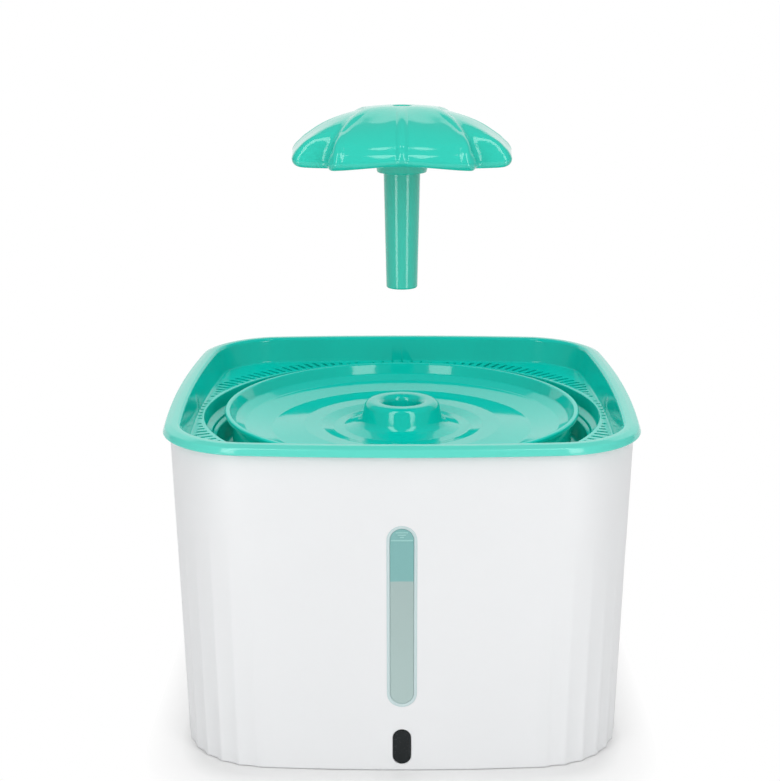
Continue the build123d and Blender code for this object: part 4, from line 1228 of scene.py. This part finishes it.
# The pairs of lamps in front, in metres: how far out to the left and right, the other two
# places, the height that they aim at on the axis, their width and their height.
FRONT_LAMPS = (
    ("low box", 0.30, -0.40, 0.088, 0.088, 0.13, 0.17),
    ("middle box", 0.41, -0.655, 0.57, 0.2, 0.23, 0.43),
    ("high box", 0.33, -0.55, 1.11, 0.14, 0.26, 0.54),
)
# The floor, in millimetres: how far it reaches, where its flat part ends and its back wall
# stands, the bend between them and the wall's height.
FLOOR_REACH = 6000
FLAT_END, WALL_PLACE, FLOOR_BEND = 2500, 4500, 1500
WALL_TOP = 4000


def soft_box(name, place, aim, width, height, glow):
    """Rectangular lamp that faces a point; its glow is how bright its face looks."""
    light = bpy.data.lights.new(name, "AREA")
    light.shape = "RECTANGLE"
    light.size, light.size_y, light.energy = width, height, glow * math.pi * width * height
    lamp = bpy.data.objects.new(name, light)
    lamp.location = place
    lamp.rotation_euler = (Vector(aim) - Vector(place)).to_track_quat("-Z", "Y").to_euler()
    lamp.visible_camera = False
    bpy.context.scene.collection.objects.link(lamp)
    return lamp


class FOUNTAIN_OT_stage(bpy.types.Operator):
    """Sets the white floor, the even light, the soft boxes and the camera"""

    bl_idname = "fountain.stage"
    bl_label = "Stage"

    def execute(self, context):
        sizes = context.scene.fountain_stage
        profile = [
            (-FLOOR_REACH, 0), (FLAT_END, 0),
            *rounded([
                (FLAT_END, 0, 0), (WALL_PLACE, 0, FLOOR_BEND), (WALL_PLACE, WALL_TOP, 0)], 16),
            (WALL_PLACE, WALL_TOP)]
        points = [(x, y, z) for y, z in profile for x in (-FLOOR_REACH, FLOOR_REACH)]
        starts = range(0, 2 * len(profile) - 2, 2)
        faces = [(start, start + 1, start + 3, start + 2) for start in starts]
        floor = piece_of("floor_sweep", points, faces)
        floor.data.materials.append(floor_finish())
        world = bpy.data.worlds.new("even light")
        world.use_nodes = True
        wiring = Wiring(world.node_tree)
        values = {"Color": (1, 1, 1, 1), "Strength": sizes.sky}
        even = wiring.node("ShaderNodeBackground", values=values)
        wiring.node("ShaderNodeOutputWorld", values={"Surface": even.outputs[0]})
        context.scene.world = world
        for side, sign in (("left", -1), ("right", 1)):
            for name, out, y, z, aim, width, height in FRONT_LAMPS:
                place = (sign * out, y, z)
                soft_box(f"{name} {side}", place, (0, 0, aim), width, height, sizes.front_boxes)
        # The fills light the sides and the back, and don't show in the gloss.
        for name, place, glow in (
                ("top fill", (0, 0.2, 1.6), sizes.top_fill),
                ("back fill", (0, 1.5, 0.9), sizes.back_fill)):
            fill = soft_box(name, place, (0, 0, 0.14), 1.4, 1.0, glow)
            fill.visible_glossy = False
        lens = bpy.data.cameras.new("camera")
        lens.sensor_fit = "VERTICAL"
        lens.sensor_height = 36
        lens.sensor_width = 36
        lens.lens = sizes.lens
        lens.shift_x = sizes.shift
        camera = bpy.data.objects.new("camera", lens)
        camera.location = (0, -sizes.camera_back, sizes.camera_height)
        camera.rotation_euler = (math.pi / 2 - sizes.camera_tilt, 0, 0)
        context.scene.collection.objects.link(camera)
        context.scene.camera = camera
        context.scene.view_settings.view_transform = "Standard"
        return {"FINISHED"}


# ---------------------------------------------------------------- panel
PIECES = (
    FOUNTAIN_OT_tank,
    FOUNTAIN_OT_window,
    FOUNTAIN_OT_tray,
    FOUNTAIN_OT_dish,
    FOUNTAIN_OT_spout,
    FOUNTAIN_OT_filter,
    FOUNTAIN_OT_fittings,
    FOUNTAIN_OT_stage,
)

GROUPS = {
    "fountain_tank": FountainTankSizes,
    "fountain_tray": FountainTraySizes,
    "fountain_dish": FountainDishSizes,
    "fountain_spout": FountainSpoutSizes,
    "fountain_colours": FountainColours,
    "fountain_stage": FountainStageSizes,
}


class FOUNTAIN_PT_pieces(bpy.types.Panel):
    """Lists the pieces of the fountain, with their sizes and colours"""

    bl_idname = "FOUNTAIN_PT_pieces"
    bl_label = "Fountain"
    bl_space_type = "VIEW_3D"
    bl_region_type = "UI"
    bl_category = "Fountain"

    def draw(self, context):
        for piece in PIECES:
            self.layout.operator(piece.bl_idname)
        for name, group in GROUPS.items():
            box = self.layout.box()
            for size in group.__annotations__:
                box.prop(getattr(context.scene, name), size)


def register():
    for group in GROUPS.values():
        bpy.utils.register_class(group)
    for name, group in GROUPS.items():
        setattr(bpy.types.Scene, name, PointerProperty(type=group))
    for piece in (*PIECES, FOUNTAIN_PT_pieces):
        bpy.utils.register_class(piece)


def unregister():
    for piece in (FOUNTAIN_PT_pieces, *reversed(PIECES)):
        bpy.utils.unregister_class(piece)
    for name, group in GROUPS.items():
        delattr(bpy.types.Scene, name)
        bpy.utils.unregister_class(group)


def main():
    register()
    for piece in PIECES:
        group, name = piece.bl_idname.split(".")
        getattr(getattr(bpy.ops, group), name)()


if __name__ == "__main__":
    main()
